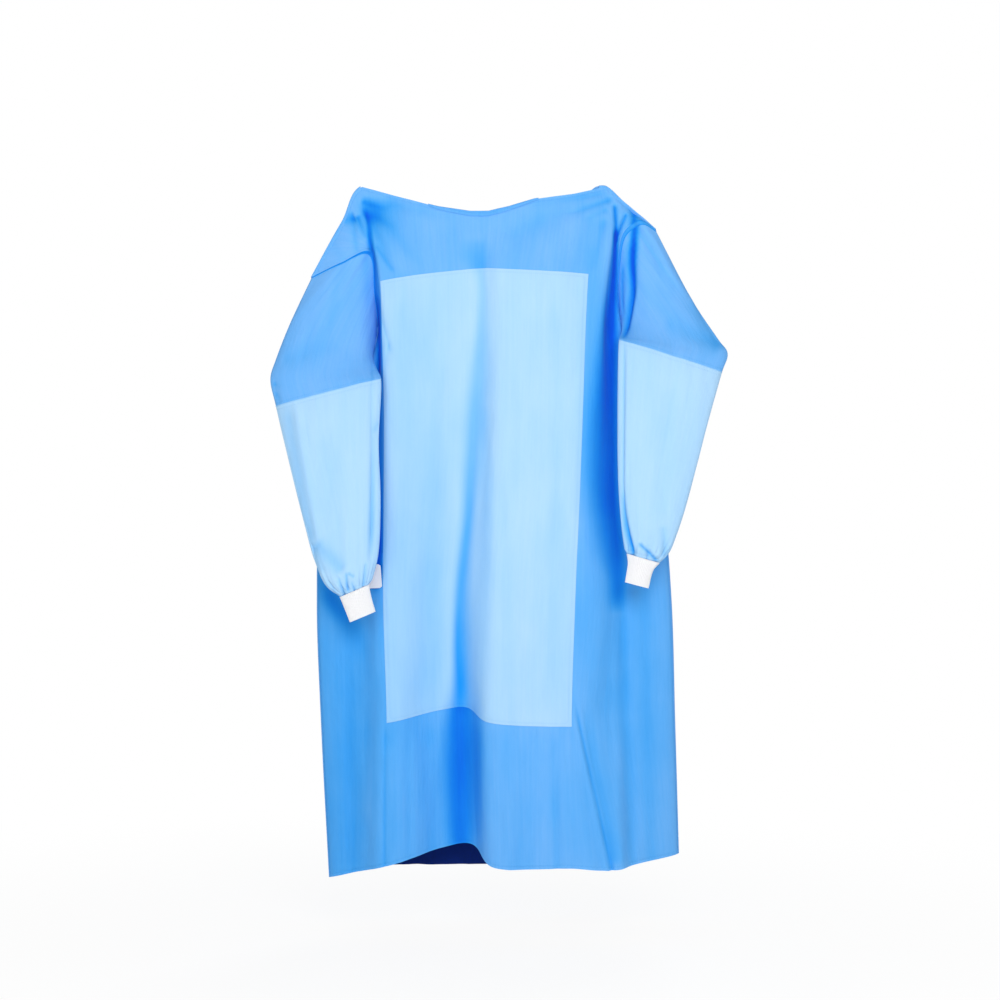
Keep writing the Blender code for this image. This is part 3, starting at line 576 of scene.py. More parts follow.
def grid_normals(grid, closed=False):
    """Unit cross product of the steps down and across the grid."""
    if closed:
        across = np.roll(grid, -1, axis=1) - np.roll(grid, 1, axis=1)
    else:
        across = np.gradient(grid, axis=1)
    return unit(np.cross(np.gradient(grid, axis=0), across))


def front_lines():
    """The lines of the front in metres, with a flank line between each side seam and its lip."""
    lines = {name: np.array(points, float) * MM for name, points in FRONT_LINES.items()}
    share, recess = np.array(FLANK, float).T
    for side in "rl":
        lip = lines["lip_" + side]
        flank = lip + (lines["seam_" + side] - lip) * share[:, None]
        flank[:, 1] += recess * MM
        lines["flank_" + side] = flank
    return lines


def back_lines():
    """The lines of the backs in metres. A back's seam line is its armhole, then the front's side seam."""
    lines = {name: np.array(points, float) * MM for name, points in BACK_LINES.items()}
    front = front_lines()
    for side in "rl":
        lines["seam_" + side] = np.concatenate([lines["armhole_" + side], front["seam_" + side][UNDERARM + 1:]])
    return lines


def side_guide(front, back, side):
    """The line past a side seam that steers the front's curve there: the flank mirrored in the seam,
    and below the armpit the back's own next line, so that front and back meet in one bend."""
    guide = 2 * front["seam_" + side] - front["flank_" + side]
    guide[UNDERARM:] = back["blade_" + side][UNDERARM:]
    return guide


def neck_shift(edge):
    """How far each point of the top edge must rise to lie on the neck edge, read from its table."""
    x, z = np.array(NECK_EDGE, float).T * MM
    between = (edge[:, 0] > x[0]) & (edge[:, 0] < x[-1])
    return np.where(between, np.interp(edge[:, 0], x, z) - edge[:, 2], 0)


def front_grid():
    """The front: its smooth surface, with all its creases moved along y and fading at the holds, and their painted
    shade.
    """
    front = front_lines()
    back = back_lines()
    grid = surface([front[name] for name in FRONT_ORDER], finer(LEVEL_STEPS, FINE_DOWN),
                   finer(FRONT_STEPS, FINE_ACROSS), side_guide(front, back, "r"), side_guide(front, back, "l"))
    fade = np.clip(1 - np.arange(len(grid)) / level_row("hold"), 0, 1)
    grid[..., 2] += fade[:, None] * neck_shift(grid[0])
    x, z = grid[..., 0].copy(), grid[..., 2].copy()
    hold = np.clip(-z / HOLD_FADE, 0, 1)
    middle, reach, run, least = EDGE_EASE
    edge = np.clip((reach - np.abs(x - middle)) / run, least, 1)
    # soft is the painted shade of the large folds
    large, soft = creases_at(x, z, LARGE_FOLDS)
    small, tone = pressed_in(x, z, FRONT_CREASES, FRONT_FALLS)
    small += ripple_depth(x, z, RIPPLE_PHASES["front"])
    grid[..., 1] += large * hold + small * np.sqrt(hold) * edge
    grid[0, :, 1] = np.minimum(grid[0, :, 1], -MM)
    return grid, soft + tone


def back_grid(side, front):
    """A back panel from its side seam to its free edge, fitted to the front along seam and shoulder."""
    lines = back_lines()
    fronts = front_lines()
    names = [kind + side for kind in ("seam_", "blade_", "fall_", "edge_")]
    guide = 2 * lines["seam_" + side] - lines["blade_" + side]
    guide[UNDERARM:] = fronts["flank_" + side][UNDERARM:]
    grid = surface([lines[name] for name in names], finer(LEVEL_STEPS, FINE_DOWN),
                   finer(BACK_STEPS, FINE_ACROSS), guide)
    if side == "r":
        top = front[0, :front_column("lip_r") + 1]
        seam = front[:, 0]
    else:
        top = front[0, front_column("lip_l"):][::-1]
        seam = front[:, -1]
    gap = top * np.array([1, -1, 1]) - grid[0, :len(top)]
    rest = grid.shape[1] - len(gap)
    shift = np.concatenate([gap, gap[-1:] * np.linspace(1, 0, rest + 1)[1:, None]])
    fade = np.clip(1 - np.arange(grid.shape[0]) / level_row("hold"), 0, 1)
    grid += shift[None] * fade[:, None, None]
    below = level_row("underarm")
    grid[below:, 0] = seam[below:] + unit(grid[below:, 1] - seam[below:]) * SEAM
    x, z = grid[..., 0].copy(), grid[..., 2].copy()
    inside = np.arange(grid.shape[1]) / (grid.shape[1] - 1)
    press = np.clip(inside * 8, 0, 1)[None] * np.clip(-z / HOLD_FADE, 0, 1)
    depth, tone = creases_at(x, z, BACK_CREASES)
    grid[..., 1] -= (depth + ripple_depth(x, z, RIPPLE_PHASES["back_" + side])) * press
    return grid, tone


def sleeve_ring(outer, inner, middle, depth, sides=SLEEVE_SIDES):
    """Flattened loop: an ellipse from the outer edge over the front to the inner edge and back behind."""
    angle = np.arange(sides) / sides * 2 * np.pi
    outer = np.array([outer[0], middle, outer[1]]) * MM
    inner = np.array([inner[0], middle, inner[1]]) * MM
    centre = (outer + inner) / 2
    reach = (outer - inner) / 2
    ring = centre + np.cos(angle)[:, None] * reach
    ring[:, 1] -= np.sin(angle) * depth / 2 * MM
    return ring


def armhole_ring(side, front, back):
    """The loop of the armhole, read at even steps from the front's edge down and the back's edge up,
    stepped off the seam towards the armpit and rounded there."""
    below = level_row("underarm")
    column = 0 if side == "r" else -1
    way = -1 if side == "r" else 1
    edge = np.concatenate([front[:below + 1, column], back[:below, 0][::-1]])
    length = np.concatenate([[0], np.cumsum(np.linalg.norm(np.diff(edge, axis=0), axis=1))])
    half = length[below]
    at = np.arange(SLEEVE_SIDES) / SLEEVE_SIDES * 2
    at = np.where(at <= 1, at * half, half + (at - 1) * (length[-1] - half))
    ring = np.stack([np.interp(at, length, edge[:, i]) for i in range(3)], axis=1)
    low = np.clip(at / half, 0, 1) * np.clip((length[-1] - at) / (length[-1] - half), 0, 1)
    ring[:, 0] += way * ARMHOLE_STEP * low
    ring[:, 2] -= SEAM + low * SEAM
    for _ in range(6):
        soft = np.clip(low - 0.8, 0, 1)[:, None] / 0.2
        ring += soft * ((np.roll(ring, 1, 0) + np.roll(ring, -1, 0)) / 2 - ring)
    return ring


def waves_round(waves, around):
    """Sum of cosines round a sleeve, each with its count, turn and height."""
    return sum(height * np.cos(around * count + turn) for count, turn, height in waves)


def before_end(at, table):
    """The strength that a table gives at each number of sections before the sleeve's end."""
    sections, strength = np.array(table, float).T
    return np.interp(at, at[-1] - sections, strength)


def sleeve_grid(side, front, back):
    """The whole sleeve: rings joined by curves along it, creases pressed in and gathers at the wrist."""
    rings = [armhole_ring(side, front, back)]
    rings += [sleeve_ring(*section[1:]) for section in SLEEVE_SECTIONS[side]]
    grid = curve_through(np.array(rings), finer(UPPER_STEPS + FOREARM_STEPS, FINE_ALONG))
    join = sum(UPPER_STEPS) * FINE_ALONG
    normal = round_normals(grid)
    at = np.arange(len(grid)) / FINE_ALONG
    start = np.clip(at / 1.5, 0, 1)[:, None]
    forward = np.clip(-normal[..., 1] * 2, 0, 1)
    backward = np.clip(normal[..., 1] * 2, 0, 1)
    x, z = grid[..., 0], grid[..., 2]
    depth, tone = pressed_in(x, z, SLEEVE_CREASES[side], SLEEVE_FALLS[side])
    behind, behind_tone = pressed_in(x, z + BEHIND_SHIFT, SLEEVE_CREASES[side], SLEEVE_FALLS[side])
    press = depth * forward + behind * backward * BEHIND_SHARE
    # Tone is the painted shade of the creases, in full on the sleeve's front and in a smaller share behind
    tone = tone * forward + behind_tone * backward * BEHIND_TONE
    ripple = ripple_depth(x * 1.3, z, RIPPLE_PHASES["sleeve_" + side])
    press += ripple * np.maximum(forward, backward) * 0.8
    ease, run = JOIN_EASE
    seam = 1 - np.exp(-((at - join / FINE_ALONG) / run) ** 2) * ease
    press = press * start * seam[:, None]
    around = np.arange(SLEEVE_SIDES) / SLEEVE_SIDES * 2 * np.pi
    press += before_end(at, GATHER_RISE)[:, None] * waves_round(GATHER_WAVES, around) * GATHER_HEIGHT
    press += before_end(at, PUFF_RISE)[:, None] * waves_round(PUFF_WAVES, around) * PUFF_HEIGHT
    return grid - normal * press[..., None], tone, join


def cloth_mesh(name, grid, closed=False, flip=False):
    """Open surface of the grid with its own map of metres along and across, its border marked sharp."""
    rows, columns = grid.shape[:2]
    index = np.arange(rows * columns).reshape(rows, columns)
    wide = np.concatenate([grid, grid[:, :1]], axis=1) if closed else grid
    if closed:
        index = np.concatenate([index, index[:, :1]], axis=1)
    corners = [index[:-1, :-1], index[1:, :-1], index[1:, 1:], index[:-1, 1:]]
    across = np.linalg.norm(np.diff(wide, axis=1), axis=2).mean(axis=0)
    down = np.linalg.norm(np.diff(wide, axis=0), axis=2).mean(axis=1)
    u = np.tile(np.concatenate([[0], np.cumsum(across)]), (rows, 1))
    v = np.tile(np.concatenate([[0], np.cumsum(down)])[:, None], (1, wide.shape[1]))
    uv = np.stack([u, v], axis=-1)
    places = [uv[:-1, :-1], uv[1:, :-1], uv[1:, 1:], uv[:-1, 1:]]
    if flip:
        corners, places = corners[::-1], places[::-1]
    faces = np.stack(corners, axis=-1).reshape(-1, 4)
    mesh = bpy.data.meshes.new(name)
    mesh.from_pydata(grid.reshape(-1, 3).tolist(), [], faces.tolist())
    layer = mesh.uv_layers.new(name="cloth")
    layer.data.foreach_set("uv", np.stack(places, axis=-2).reshape(-1))
    loops = np.empty(len(mesh.loops), dtype=np.int32)
    mesh.loops.foreach_get("edge_index", loops)
    mesh.edges.foreach_set("use_edge_sharp", np.bincount(loops, minlength=len(mesh.edges)) == 1)
    mesh.shade_smooth()
    return mesh


def add_object(name, mesh, mat):
    """A mesh with one material, placed in the scene at the origin."""
    obj = bpy.data.objects.new(name, mesh)
    bpy.context.scene.collection.objects.link(obj)
    mesh.materials.clear()
    mesh.materials.append(mat)
    return obj


def cloth_piece(name, grid, mat, thick=CLOTH, closed=False, flip=False, stands_for=None):
    """A cloth shell that rides on the gown, with the wall put about its surface."""
    obj = add_object(name, cloth_mesh(name, grid, closed, flip), mat)
    shell = obj.modifiers.new("cloth", "SOLIDIFY")
    shell.thickness = thick
    shell.offset = 0
    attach(obj, "root")
    if stands_for:
        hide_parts(*stands_for)
    return obj


def rows_between(grid, start, end, count):
    """The grid read anew at count rows, evenly from row start to row end, by straight interpolation."""
    at = np.linspace(start, end, count)
    low = np.clip(np.floor(at).astype(int), 0, len(grid) - 2)
    share = (at - low)[:, None, None]
    return grid[low] * (1 - share) + grid[low + 1] * share


def round_normals(grid):
    """Normals of a closed grid, turned away from the middle of each ring."""
    normal = grid_normals(grid, closed=True)
    inward = (normal * (grid - grid.mean(axis=1, keepdims=True))).sum() < 0
    return -normal if inward else normal


def seam_ring(grid, middle, width, height):
    """Band round a sleeve, centred on a row: its height a sine from edge to edge, the edges in the cloth."""
    steps = np.linalg.norm(np.diff(grid, axis=0), axis=2).mean(axis=1)
    pitch = steps[min(int(middle), len(steps) - 1)]
    first = middle - width / 2 / pitch
    band = rows_between(grid, first, first + width / pitch, 7)
    arch = np.sin(np.linspace(0, np.pi, 7))[:, None, None]
    return band + round_normals(band) * height * arch


def path_strip(path, side, normal, width, lift, height):
    """Strip along a path: points from -width / 2 to +width / 2 along side, lifted along normal and
    arched up by a half cosine of the given height."""
    across = np.linspace(-0.5, 0.5, 7)[None, :, None] * width
    arch = np.cos(np.linspace(-0.5, 0.5, 7) * np.pi)[None, :, None]
    return path[:, None] + across * side[:, None] + (lift + height * arch) * normal[:, None]


def side_seam(front, back, side):
    """Narrow ridge down the line where front and back meet, below the armhole."""
    below = level_row("underarm") + 2
    column, inner, way = (0, 1, -1) if side == "r" else (-1, -2, 1)
    edge = (front[below:, column] + back[below:, 0]) / 2
    side_way = unit(back[below:, 1] - front[below:, inner])
    along = unit(np.gradient(edge, axis=0))
    out = unit(np.cross(along, side_way))
    out *= np.sign(out[:, :1] * way + 1e-9)
    return path_strip(edge, side_way, out, SIDE_SEAM_WIDTH, SIDE_SEAM_LIFT, SIDE_SEAM_HEIGHT)


def edge_fold(edge, down, normal, depth, away):
    """Strip folded over an edge: down the front by depth, a half circle over the top, down behind."""
    turn = np.linspace(0, np.pi, 9)
    arc = [edge + (np.cos(t) * normal - np.sin(t) * down) * away for t in turn]
    legs = [edge + down * depth * share + normal * away for share in (1, 0.66, 0.33)]
    behind = [edge + down * depth * share - normal * away for share in (0.33, 0.66, 1)]
    return np.array(legs + arc + behind)


def neck_binding(front):
    """Strip folded over the middle of the front neck edge, deepest at its middle."""
    under = np.abs(front[0, :, 0]) < BINDING_REACH
    edge, normal = front[0, under], grid_normals(front)[0, under]
    down = unit(front[3, under] - edge)
    share = 1 - (edge[:, :1] / BINDING_REACH) ** 2
    depth = BINDING_END_DEPTH + (BINDING_DEPTH - BINDING_END_DEPTH) * share
    return edge_fold(edge, down, normal, depth, CLOTH / 2 + GAP + LAYER / 2)


def shoulder_fold(front, back, side):
    """Strip folded over the top edge from the neck side of the hold to the armhole."""
    count = front_column("lip_r")
    fronts = front[:, :count] if side == "r" else front[:, ::-1][:, :count]
    edge = (fronts[0] + back[0, :count]) / 2
    down = unit(fronts[3] + back[3, :count] - 2 * edge)
    normal = np.tile([0.0, -1.0, 0.0], (count, 1))
    return edge_fold(edge, down, normal, np.full((count, 1), SHOULDER_FOLD_DEPTH), SHOULDER_FOLD_AWAY)


def stitches(path, normal):
    """Short threads along a path: tubes of few sides, each a low sine arch above the cloth."""
    rings, sides = len(STITCH_SHAPE), STITCH_SIDES
    run = np.concatenate([[0], np.cumsum(np.linalg.norm(np.diff(path, axis=0), axis=1))])
    starts = np.arange(STITCH_PITCH / 2, run[-1] - STITCH_PITCH, STITCH_PITCH)
    share = np.linspace(0, 1, rings)
    at = starts[:, None] + share[None] * STITCH_LENGTH
    lift = STITCH_RADIUS * (0.2 + 1.1 * np.sin(share * np.pi))[None, :, None]
    thick = STITCH_RADIUS * np.array(STITCH_SHAPE)[None, :, None, None]
    point = np.stack([np.interp(at, run, path[:, i]) for i in range(3)], axis=-1)
    up = unit(np.stack([np.interp(at, run, normal[:, i]) for i in range(3)], axis=-1))
    along = unit(np.gradient(point, axis=1))
    across = np.cross(along, up)
    angle = np.arange(sides) / sides * 2 * np.pi
    ring = np.cos(angle)[:, None] * up[:, :, None] + np.sin(angle)[:, None] * across[:, :, None]
    verts = ((point + up * lift)[:, :, None] + ring * thick).reshape(-1, 3)
    base = np.arange(len(starts))[:, None] * rings * sides
    turn = np.arange(sides)
    first = np.arange(rings - 1)[None, :, None] * sides + turn + base[:, None]
    after = np.arange(rings - 1)[None, :, None] * sides + (turn + 1) % sides + base[:, None]
    walls = np.stack([first, after, after + sides, first + sides], axis=-1).reshape(-1, 4)
    head = turn[::-1] + base
    tail = turn + (rings - 1) * sides + base
    return verts, walls.tolist() + head.tolist() + tail.tolist()


def level_line(grid, z, columns):
    """The points of the given columns at height z."""
    return np.array([[np.interp(-z, -grid[:, c, 2], grid[:, c, axis]) for axis in range(3)] for c in columns])


def belt(front, back):
    """Flat strip round the right side, from beside the lip of the front to the free edge of the back."""
    lip = front_column("lip_r")
    lift = CLOTH / 2 + GAP + LAYER / 2 + BELT_EASE
    rows = []
    for share in np.linspace(0.5, -0.5, 9):
        z = BELT_Z + BELT_WIDTH * share
        path = np.concatenate([level_line(front, z, range(lip, -1, -1)),
                               level_line(back, z, range(1, back.shape[1]))])
        along = np.gradient(path, axis=0)
        out = unit(np.stack([along[:, 1], -along[:, 0], np.zeros(len(along))], axis=1))
        rows.append(path - out * lift)
    return np.array(rows)


def front_depth(front, x, z):
    """Depth y of the front cloth behind the point x, z."""
    y_rows = [np.interp(x, row[:, 0], row[:, 1]) for row in front]
    z_rows = [np.interp(x, row[:, 0], row[:, 2]) for row in front]
    return np.interp(-z, -np.array(z_rows), y_rows)


def tab(back, side, lift):
    """Square tab at the neck end of a back edge: even steps in from the edge and down it, its
    depth read from the cloth."""
    edge = back[:, -1]
    z = np.linspace(edge[0, 2] - TAB_DROP, edge[0, 2] - TAB_DROP - TAB_LENGTH, 17)
    way = -1 if side == "r" else 1
    x = np.interp(-z, -edge[:, 2], edge[:, 0])[:, None] + way * np.linspace(TAB_INSET, TAB_WIDTH, 9)[None]
    z = np.tile(z[:, None], (1, 9))
    rows = back if side == "r" else back[:, ::-1]
    y = np.array([front_depth(rows, px, pz) for px, pz in zip(x.ravel(), z.ravel())]).reshape(x.shape)
    grid = np.stack([x, y, z], axis=-1)
    normal = grid_normals(grid)
    normal *= np.sign(normal[..., 1:2])
    return grid + normal * (lift if side == "r" else -lift)


def transfer_card(front):
    """Flat card that leans on the cloth and on the belt's end; near its corners each row is shorter
    by the sagitta of the corner's circle."""
    s, t = np.meshgrid(np.linspace(-0.5, 0.5, 13), np.linspace(0.5, -0.5, 19))
    into = np.clip(np.abs(t) * CARD_HEIGHT - CARD_HEIGHT / 2 + CARD_CORNER, 0, CARD_CORNER)
    short = CARD_CORNER - np.sqrt(CARD_CORNER**2 - into**2)
    s = s * (1 - 2 * short / CARD_WIDTH)
    x = CARD_CENTRE[0] + s * CARD_WIDTH * math.cos(CARD_TILT) - t * CARD_HEIGHT * math.sin(CARD_TILT)
    z = CARD_CENTRE[1] + s * CARD_WIDTH * math.sin(CARD_TILT) + t * CARD_HEIGHT * math.cos(CARD_TILT)
    cloth = np.array([front_depth(front, px, pz) for px, pz in zip(x.ravel(), z.ravel())]).reshape(x.shape)
    fall = cloth[:, 0].mean() - cloth[:, -1].mean()
    on_belt = np.abs(z - BELT_Z) < BELT_WIDTH / 2 + LAYER
    lift = CLOTH / 2 + GAP + CARD_EASE + LAYER / 2 + on_belt * (GAP + LAYER + BELT_EASE)
    plane = -fall * (s + 0.5)
    plane += (cloth - lift * math.hypot(1, fall / CARD_WIDTH) - plane).min()
    return np.stack([x, plane, z], axis=-1)


class Graph:
    """Short calls that add nodes to one node tree."""

    def __init__(self, tree):
        self.tree = tree

    def feed(self, node, inputs):
        """Fill a node's inputs: a socket is linked, anything else becomes the input's own value."""
        for name, value in inputs.items():
            if isinstance(value, bpy.types.NodeSocket):
                self.tree.links.new(value, node.inputs[name])
            else:
                node.inputs[name].default_value = value

    def add(self, kind, inputs=None, **settings):
        node = self.tree.nodes.new(kind)
        for name, value in settings.items():
            setattr(node, name, value)
        self.feed(node, inputs or {})
        return node

    def group(self, tree, inputs):
        return self.add("ShaderNodeGroup", inputs, node_tree=tree).outputs

    def stored(self, name):
        return self.add("ShaderNodeAttribute", attribute_name=name).outputs["Fac"]

    def cloth_place(self):
        return self.add("ShaderNodeUVMap", uv_map="cloth").outputs["UV"]

    def split(self, vector):
        return self.add("ShaderNodeSeparateXYZ", {"Vector": vector}).outputs

    def math(self, operation, a, b=0.0, clamp=False):
        return self.add("ShaderNodeMath", {0: a, 1: b}, operation=operation, use_clamp=clamp).outputs[0]

    def spread(self, value, low, high, to_low, to_high):
        inputs = {"Value": value, "From Min": low, "From Max": high, "To Min": to_low, "To Max": to_high}
        return self.add("ShaderNodeMapRange", inputs).outputs["Result"]

    def stretched(self, place, scale):
        return self.add("ShaderNodeMapping", {"Vector": place, "Scale": scale}).outputs["Vector"]

    def noise(self, place, scale, detail=2.0, rough=0.5):
        inputs = {"Vector": place, "Scale": scale, "Detail": detail, "Roughness": rough}
        return self.add("ShaderNodeTexNoise", inputs).outputs["Fac"]

    def mix(self, factor, a, b):
        inputs = {0: factor, 6: a, 7: b}
        return self.add("ShaderNodeMix", inputs, data_type="RGBA", blend_type="MIX").outputs[2]

    def bump(self, height, distance, normal=None):
        inputs = {"Height": height, "Distance": distance}
        if normal is not None:
            inputs["Normal"] = normal
        return self.add("ShaderNodeBump", inputs).outputs["Normal"]


def new_group(name, inputs, outputs):
    """Empty node group with named sockets: inputs (name, type, value) and outputs (name, type)."""
    tree = bpy.data.node_groups.new(name, "ShaderNodeTree")
    for label, kind, value in inputs:
        socket = tree.interface.new_socket(label, in_out="INPUT", socket_type="NodeSocket" + kind)
        if value is not None:
            socket.default_value = value
    for label, kind in outputs:
        tree.interface.new_socket(label, in_out="OUTPUT", socket_type="NodeSocket" + kind)
    graph = Graph(tree)
    return graph, graph.add("NodeGroupInput").outputs, graph.add("NodeGroupOutput")


def nonwoven_group():
    """Spunbonded cloth: long streaks, cloudy fibres, small bond dots and a faint crumple, and the painted shade it
    is given. Where it deepens, by painted shade most of all, its red is lost first: red goes down by a power of
    what is left of the pale colour."""
    graph, given, result = new_group(
        "nonwoven",
        (("Place", "Vector", None), ("Colour", "Color", (0.2, 0.4, 0.9, 1)),
         ("Deep", "Color", (0.1, 0.3, 0.8, 1)), ("Painted shade and marks", "Float", 0.0), ("Red loss", "Float", 1.8),
         ("Streak", "Float", 0.5), ("Dots", "Float", 1.0), ("Crumple", "Float", 1.0)),
        (("Colour", "Color"), ("Roughness", "Float"), ("Normal", "Vector")))
    place = given["Place"]
    streak = graph.noise(graph.stretched(place, (1, 0.03, 1)), 190, 4, 0.6)
    cloud = graph.noise(graph.stretched(place, (1, 0.4, 1)), 14, 3, 0.5)
    fibre = graph.noise(place, 1400, 3, 0.7)
    split = graph.split(place)
    wave_u = graph.math("SINE", graph.math("MULTIPLY", split["X"], 2 * math.pi / DOT_PITCH[0]))
    wave_v = graph.math("SINE", graph.math("MULTIPLY", split["Y"], 2 * math.pi / DOT_PITCH[1]))
    dots = graph.spread(graph.math("MULTIPLY", wave_u, wave_v), 0.3, 0.55, 0, 1)
    dots = graph.math("MULTIPLY", dots, given["Dots"])
    shade = graph.spread(streak, 0.32, 0.68, -0.5, 0.5)
    shade = graph.math("MULTIPLY", shade, given["Streak"])
    shade = graph.math("ADD", shade, graph.spread(cloud, 0.3, 0.7, PALE_TONE - 0.04, PALE_TONE + 0.04))
    shade = graph.math("ADD", shade, graph.spread(fibre, 0.3, 0.7, -0.03, 0.03))
    shade = graph.math("ADD", shade, graph.math("MULTIPLY", dots, 0.03))
    shade = graph.math("ADD", shade, given["Painted shade and marks"], clamp=True)
    colour = graph.mix(shade, given["Colour"], given["Deep"])
    red = graph.math("POWER", graph.math("SUBTRACT", 1.0, shade), given["Red loss"])
    red = graph.add("ShaderNodeCombineXYZ", {"X": red, "Y": 1.0, "Z": 1.0}).outputs[0]
    colour = graph.add("ShaderNodeVectorMath", {0: colour, 1: red}, operation="MULTIPLY").outputs[0]
    rough = graph.spread(fibre, 0.3, 0.7, 0.72, 0.86)
    rough = graph.math("SUBTRACT", rough, graph.math("MULTIPLY", dots, 0.12))
    height = graph.math("ADD", graph.math("MULTIPLY", fibre, 0.35), graph.math("MULTIPLY", dots, -0.5))
    normal = graph.bump(height, 0.00012)
    soft = graph.noise(graph.stretched(place, (1, 0.25, 1)), 46, 3, 0.55)
    soft = graph.math("MULTIPLY", soft, given["Crumple"])
    normal = graph.bump(soft, 0.0022, normal)
    graph.feed(result, {"Colour": colour, "Roughness": rough, "Normal": normal})
    return graph.tree


def border_group():
    """Weld marks beside a border: short dashes at a given distance from the cloth's edge."""
    graph, given, result = new_group(
        "border marks",
        (("Place", "Vector", None), ("Border", "Float", 1.0), ("Inset", "Float", 0.006),
         ("Width", "Float", 0.0012), ("Pitch", "Float", 0.004)),
        (("Mask", "Float"),))
    split = graph.split(given["Place"])
    off = graph.math("ABSOLUTE", graph.math("SUBTRACT", given["Border"], given["Inset"]))
    line = graph.math("LESS_THAN", off, given["Width"])
    along = graph.math("ADD", split["X"], split["Y"])
    dash = graph.math("FRACT", graph.math("DIVIDE", along, given["Pitch"]))
    dash = graph.math("LESS_THAN", dash, 0.6)
    graph.feed(result, {"Mask": graph.math("MULTIPLY", line, dash)})
    return graph.tree


def knit_group():
    """Rib knit: rows of small slanted loops, their height from two crossing sines, and soft fuzz, with a painted
    shade that is darker where the loops are low.
    """
    graph, given, result = new_group(
        "rib knit",
        (("Place", "Vector", None), ("Loop", "Float", 0.0016)),
        (("Height", "Float"), ("Shade", "Float")))
    split = graph.split(given["Place"])
    turn = graph.math("DIVIDE", 2 * math.pi, given["Loop"])
    across = graph.math("SINE", graph.math("MULTIPLY", split["X"], turn))
    slant = graph.math("MULTIPLY", graph.math("ABSOLUTE", across), 1.4)
    along = graph.math("SINE", graph.math("ADD", graph.math("MULTIPLY", split["Y"], turn), slant))
    fuzz = graph.noise(given["Place"], 1800, 3, 0.7)
    height = graph.math("ADD", along, graph.math("MULTIPLY", fuzz, 0.8))
    shade = graph.spread(height, -1, 1.8, 0, 1)
    graph.feed(result, {"Height": height, "Shade": shade})
    return graph.tree


def new_material(name):
    """A material with its node graph and its Principled shader."""
    mat = bpy.data.materials.new(name)
    mat.use_nodes = True
    return mat, Graph(mat.node_tree), mat.node_tree.nodes["Principled BSDF"]


def cloth_material(weave, marks, name, pale, deep, red_loss, streak, dots, crumple, rougher):
    """Matt nonwoven with painted shade: it deepens in colour in its folds and where it turns away, and goes over
    to a painted navy shadow on the inner side where the point value "inner" says so; it has weld marks along its
    borders."""
    mat, graph, shader = new_material(name)
    place = graph.cloth_place()
    facing = graph.add("ShaderNodeLayerWeight", {"Blend": 0.5}).outputs["Facing"]
    mask = graph.group(marks, {"Place": place, "Border": graph.stored("border")})["Mask"]
    # Painted shade: the point value "fold" and cloth that turns away from the view (layer weight), with the weld
    # marks' own tone
    fold = graph.math("ADD", graph.stored("fold"), graph.spread(facing, *TURNED_SHADE))
    fold = graph.math("ADD", fold, graph.math("MULTIPLY", mask, MARK_TONE))
    cloth = graph.group(weave, {"Place": place, "Colour": pale, "Deep": deep, "Painted shade and marks": fold,
                                "Red loss": red_loss, "Streak": streak, "Dots": dots, "Crumple": crumple})
    # Painted shadow: the inner side of a back, where it faces forward, goes over to navy by the point value
    # "inner"
    outward = graph.split(graph.add("ShaderNodeTexCoord").outputs["Normal"])["Y"]
    forward = graph.spread(outward, -0.1, 0.1, 1, 0)
    inner = graph.math("MULTIPLY", graph.stored("inner"), forward)
    graph.feed(shader, {
        "Base Color": graph.mix(inner, cloth["Colour"], INNER_SHADOW_COLOUR),
        "Roughness": graph.math("ADD", cloth["Roughness"], rougher),
        "Normal": graph.bump(graph.math("MULTIPLY", mask, -1.0), MARK_DEPTH, cloth["Normal"]),
        "Specular IOR Level": 0.14,
        "Sheen Weight": 0.03,
        "Sheen Roughness": 0.5,
    })
    return mat


def knit_material(knit):
    """White rib knit with painted shade: greyer between its loops and in its folds."""
    mat, graph, shader = new_material("knit_white")
    loops = graph.group(knit, {"Place": graph.cloth_place()})
    tone = graph.mix(loops["Shade"], (0.90, 0.90, 0.93, 1), (0.985, 0.985, 0.99, 1))
    tone = graph.mix(graph.stored("fold"), tone, (0.62, 0.64, 0.72, 1))
    graph.feed(shader, {"Base Color": tone, "Normal": graph.bump(loops["Height"], 0.00018),
                        "Roughness": 0.92, "Sheen Weight": 0.25})
    return mat


def card_material():
    """Bare white card with a fine fibre and faint clouds."""
    mat, graph, shader = new_material("card_white")
    place = graph.cloth_place()
    fibre = graph.noise(place, 900, 4, 0.6)
    cloud = graph.noise(place, 60, 2, 0.5)
    tone = graph.mix(graph.spread(fibre, 0.3, 0.7, 0, 1), (0.90, 0.88, 0.89, 1), (0.96, 0.94, 0.95, 1))
    tone = graph.mix(graph.spread(cloud, 0.35, 0.65, 0, 0.3), tone, (0.88, 0.85, 0.87, 1))
    graph.feed(shader, {"Base Color": tone, "Normal": graph.bump(fibre, 0.00005), "Roughness": 0.62})
    return mat


def thread_material():
    """Blue thread, its twist a fine noise."""
    mat, graph, shader = new_material("thread_blue")
    place = graph.add("ShaderNodeTexCoord").outputs["Object"]
    twist = graph.noise(place, 5200, 2, 0.6)
    tone = graph.mix(twist, (0.07, 0.27, 0.70, 1), (0.16, 0.44, 0.90, 1))
    graph.feed(shader, {"Base Color": tone, "Roughness": 0.6})
    return mat


def make_materials():
    weave, marks = nonwoven_group(), border_group()
    mats = {part: cloth_material(weave, marks, *finish) for part, finish in CLOTH_FINISHES.items()}
    mats["knit"] = knit_material(knit_group())
    mats["card"] = card_material()
    mats["thread"] = thread_material()
    return mats


def point_values(obj, name, values):
    """Store one number at each point of a piece, for its material to read."""
    layer = obj.data.attributes.new(name, "FLOAT", "POINT")
    layer.data.foreach_set("value", np.asarray(values, dtype=np.float32).ravel())


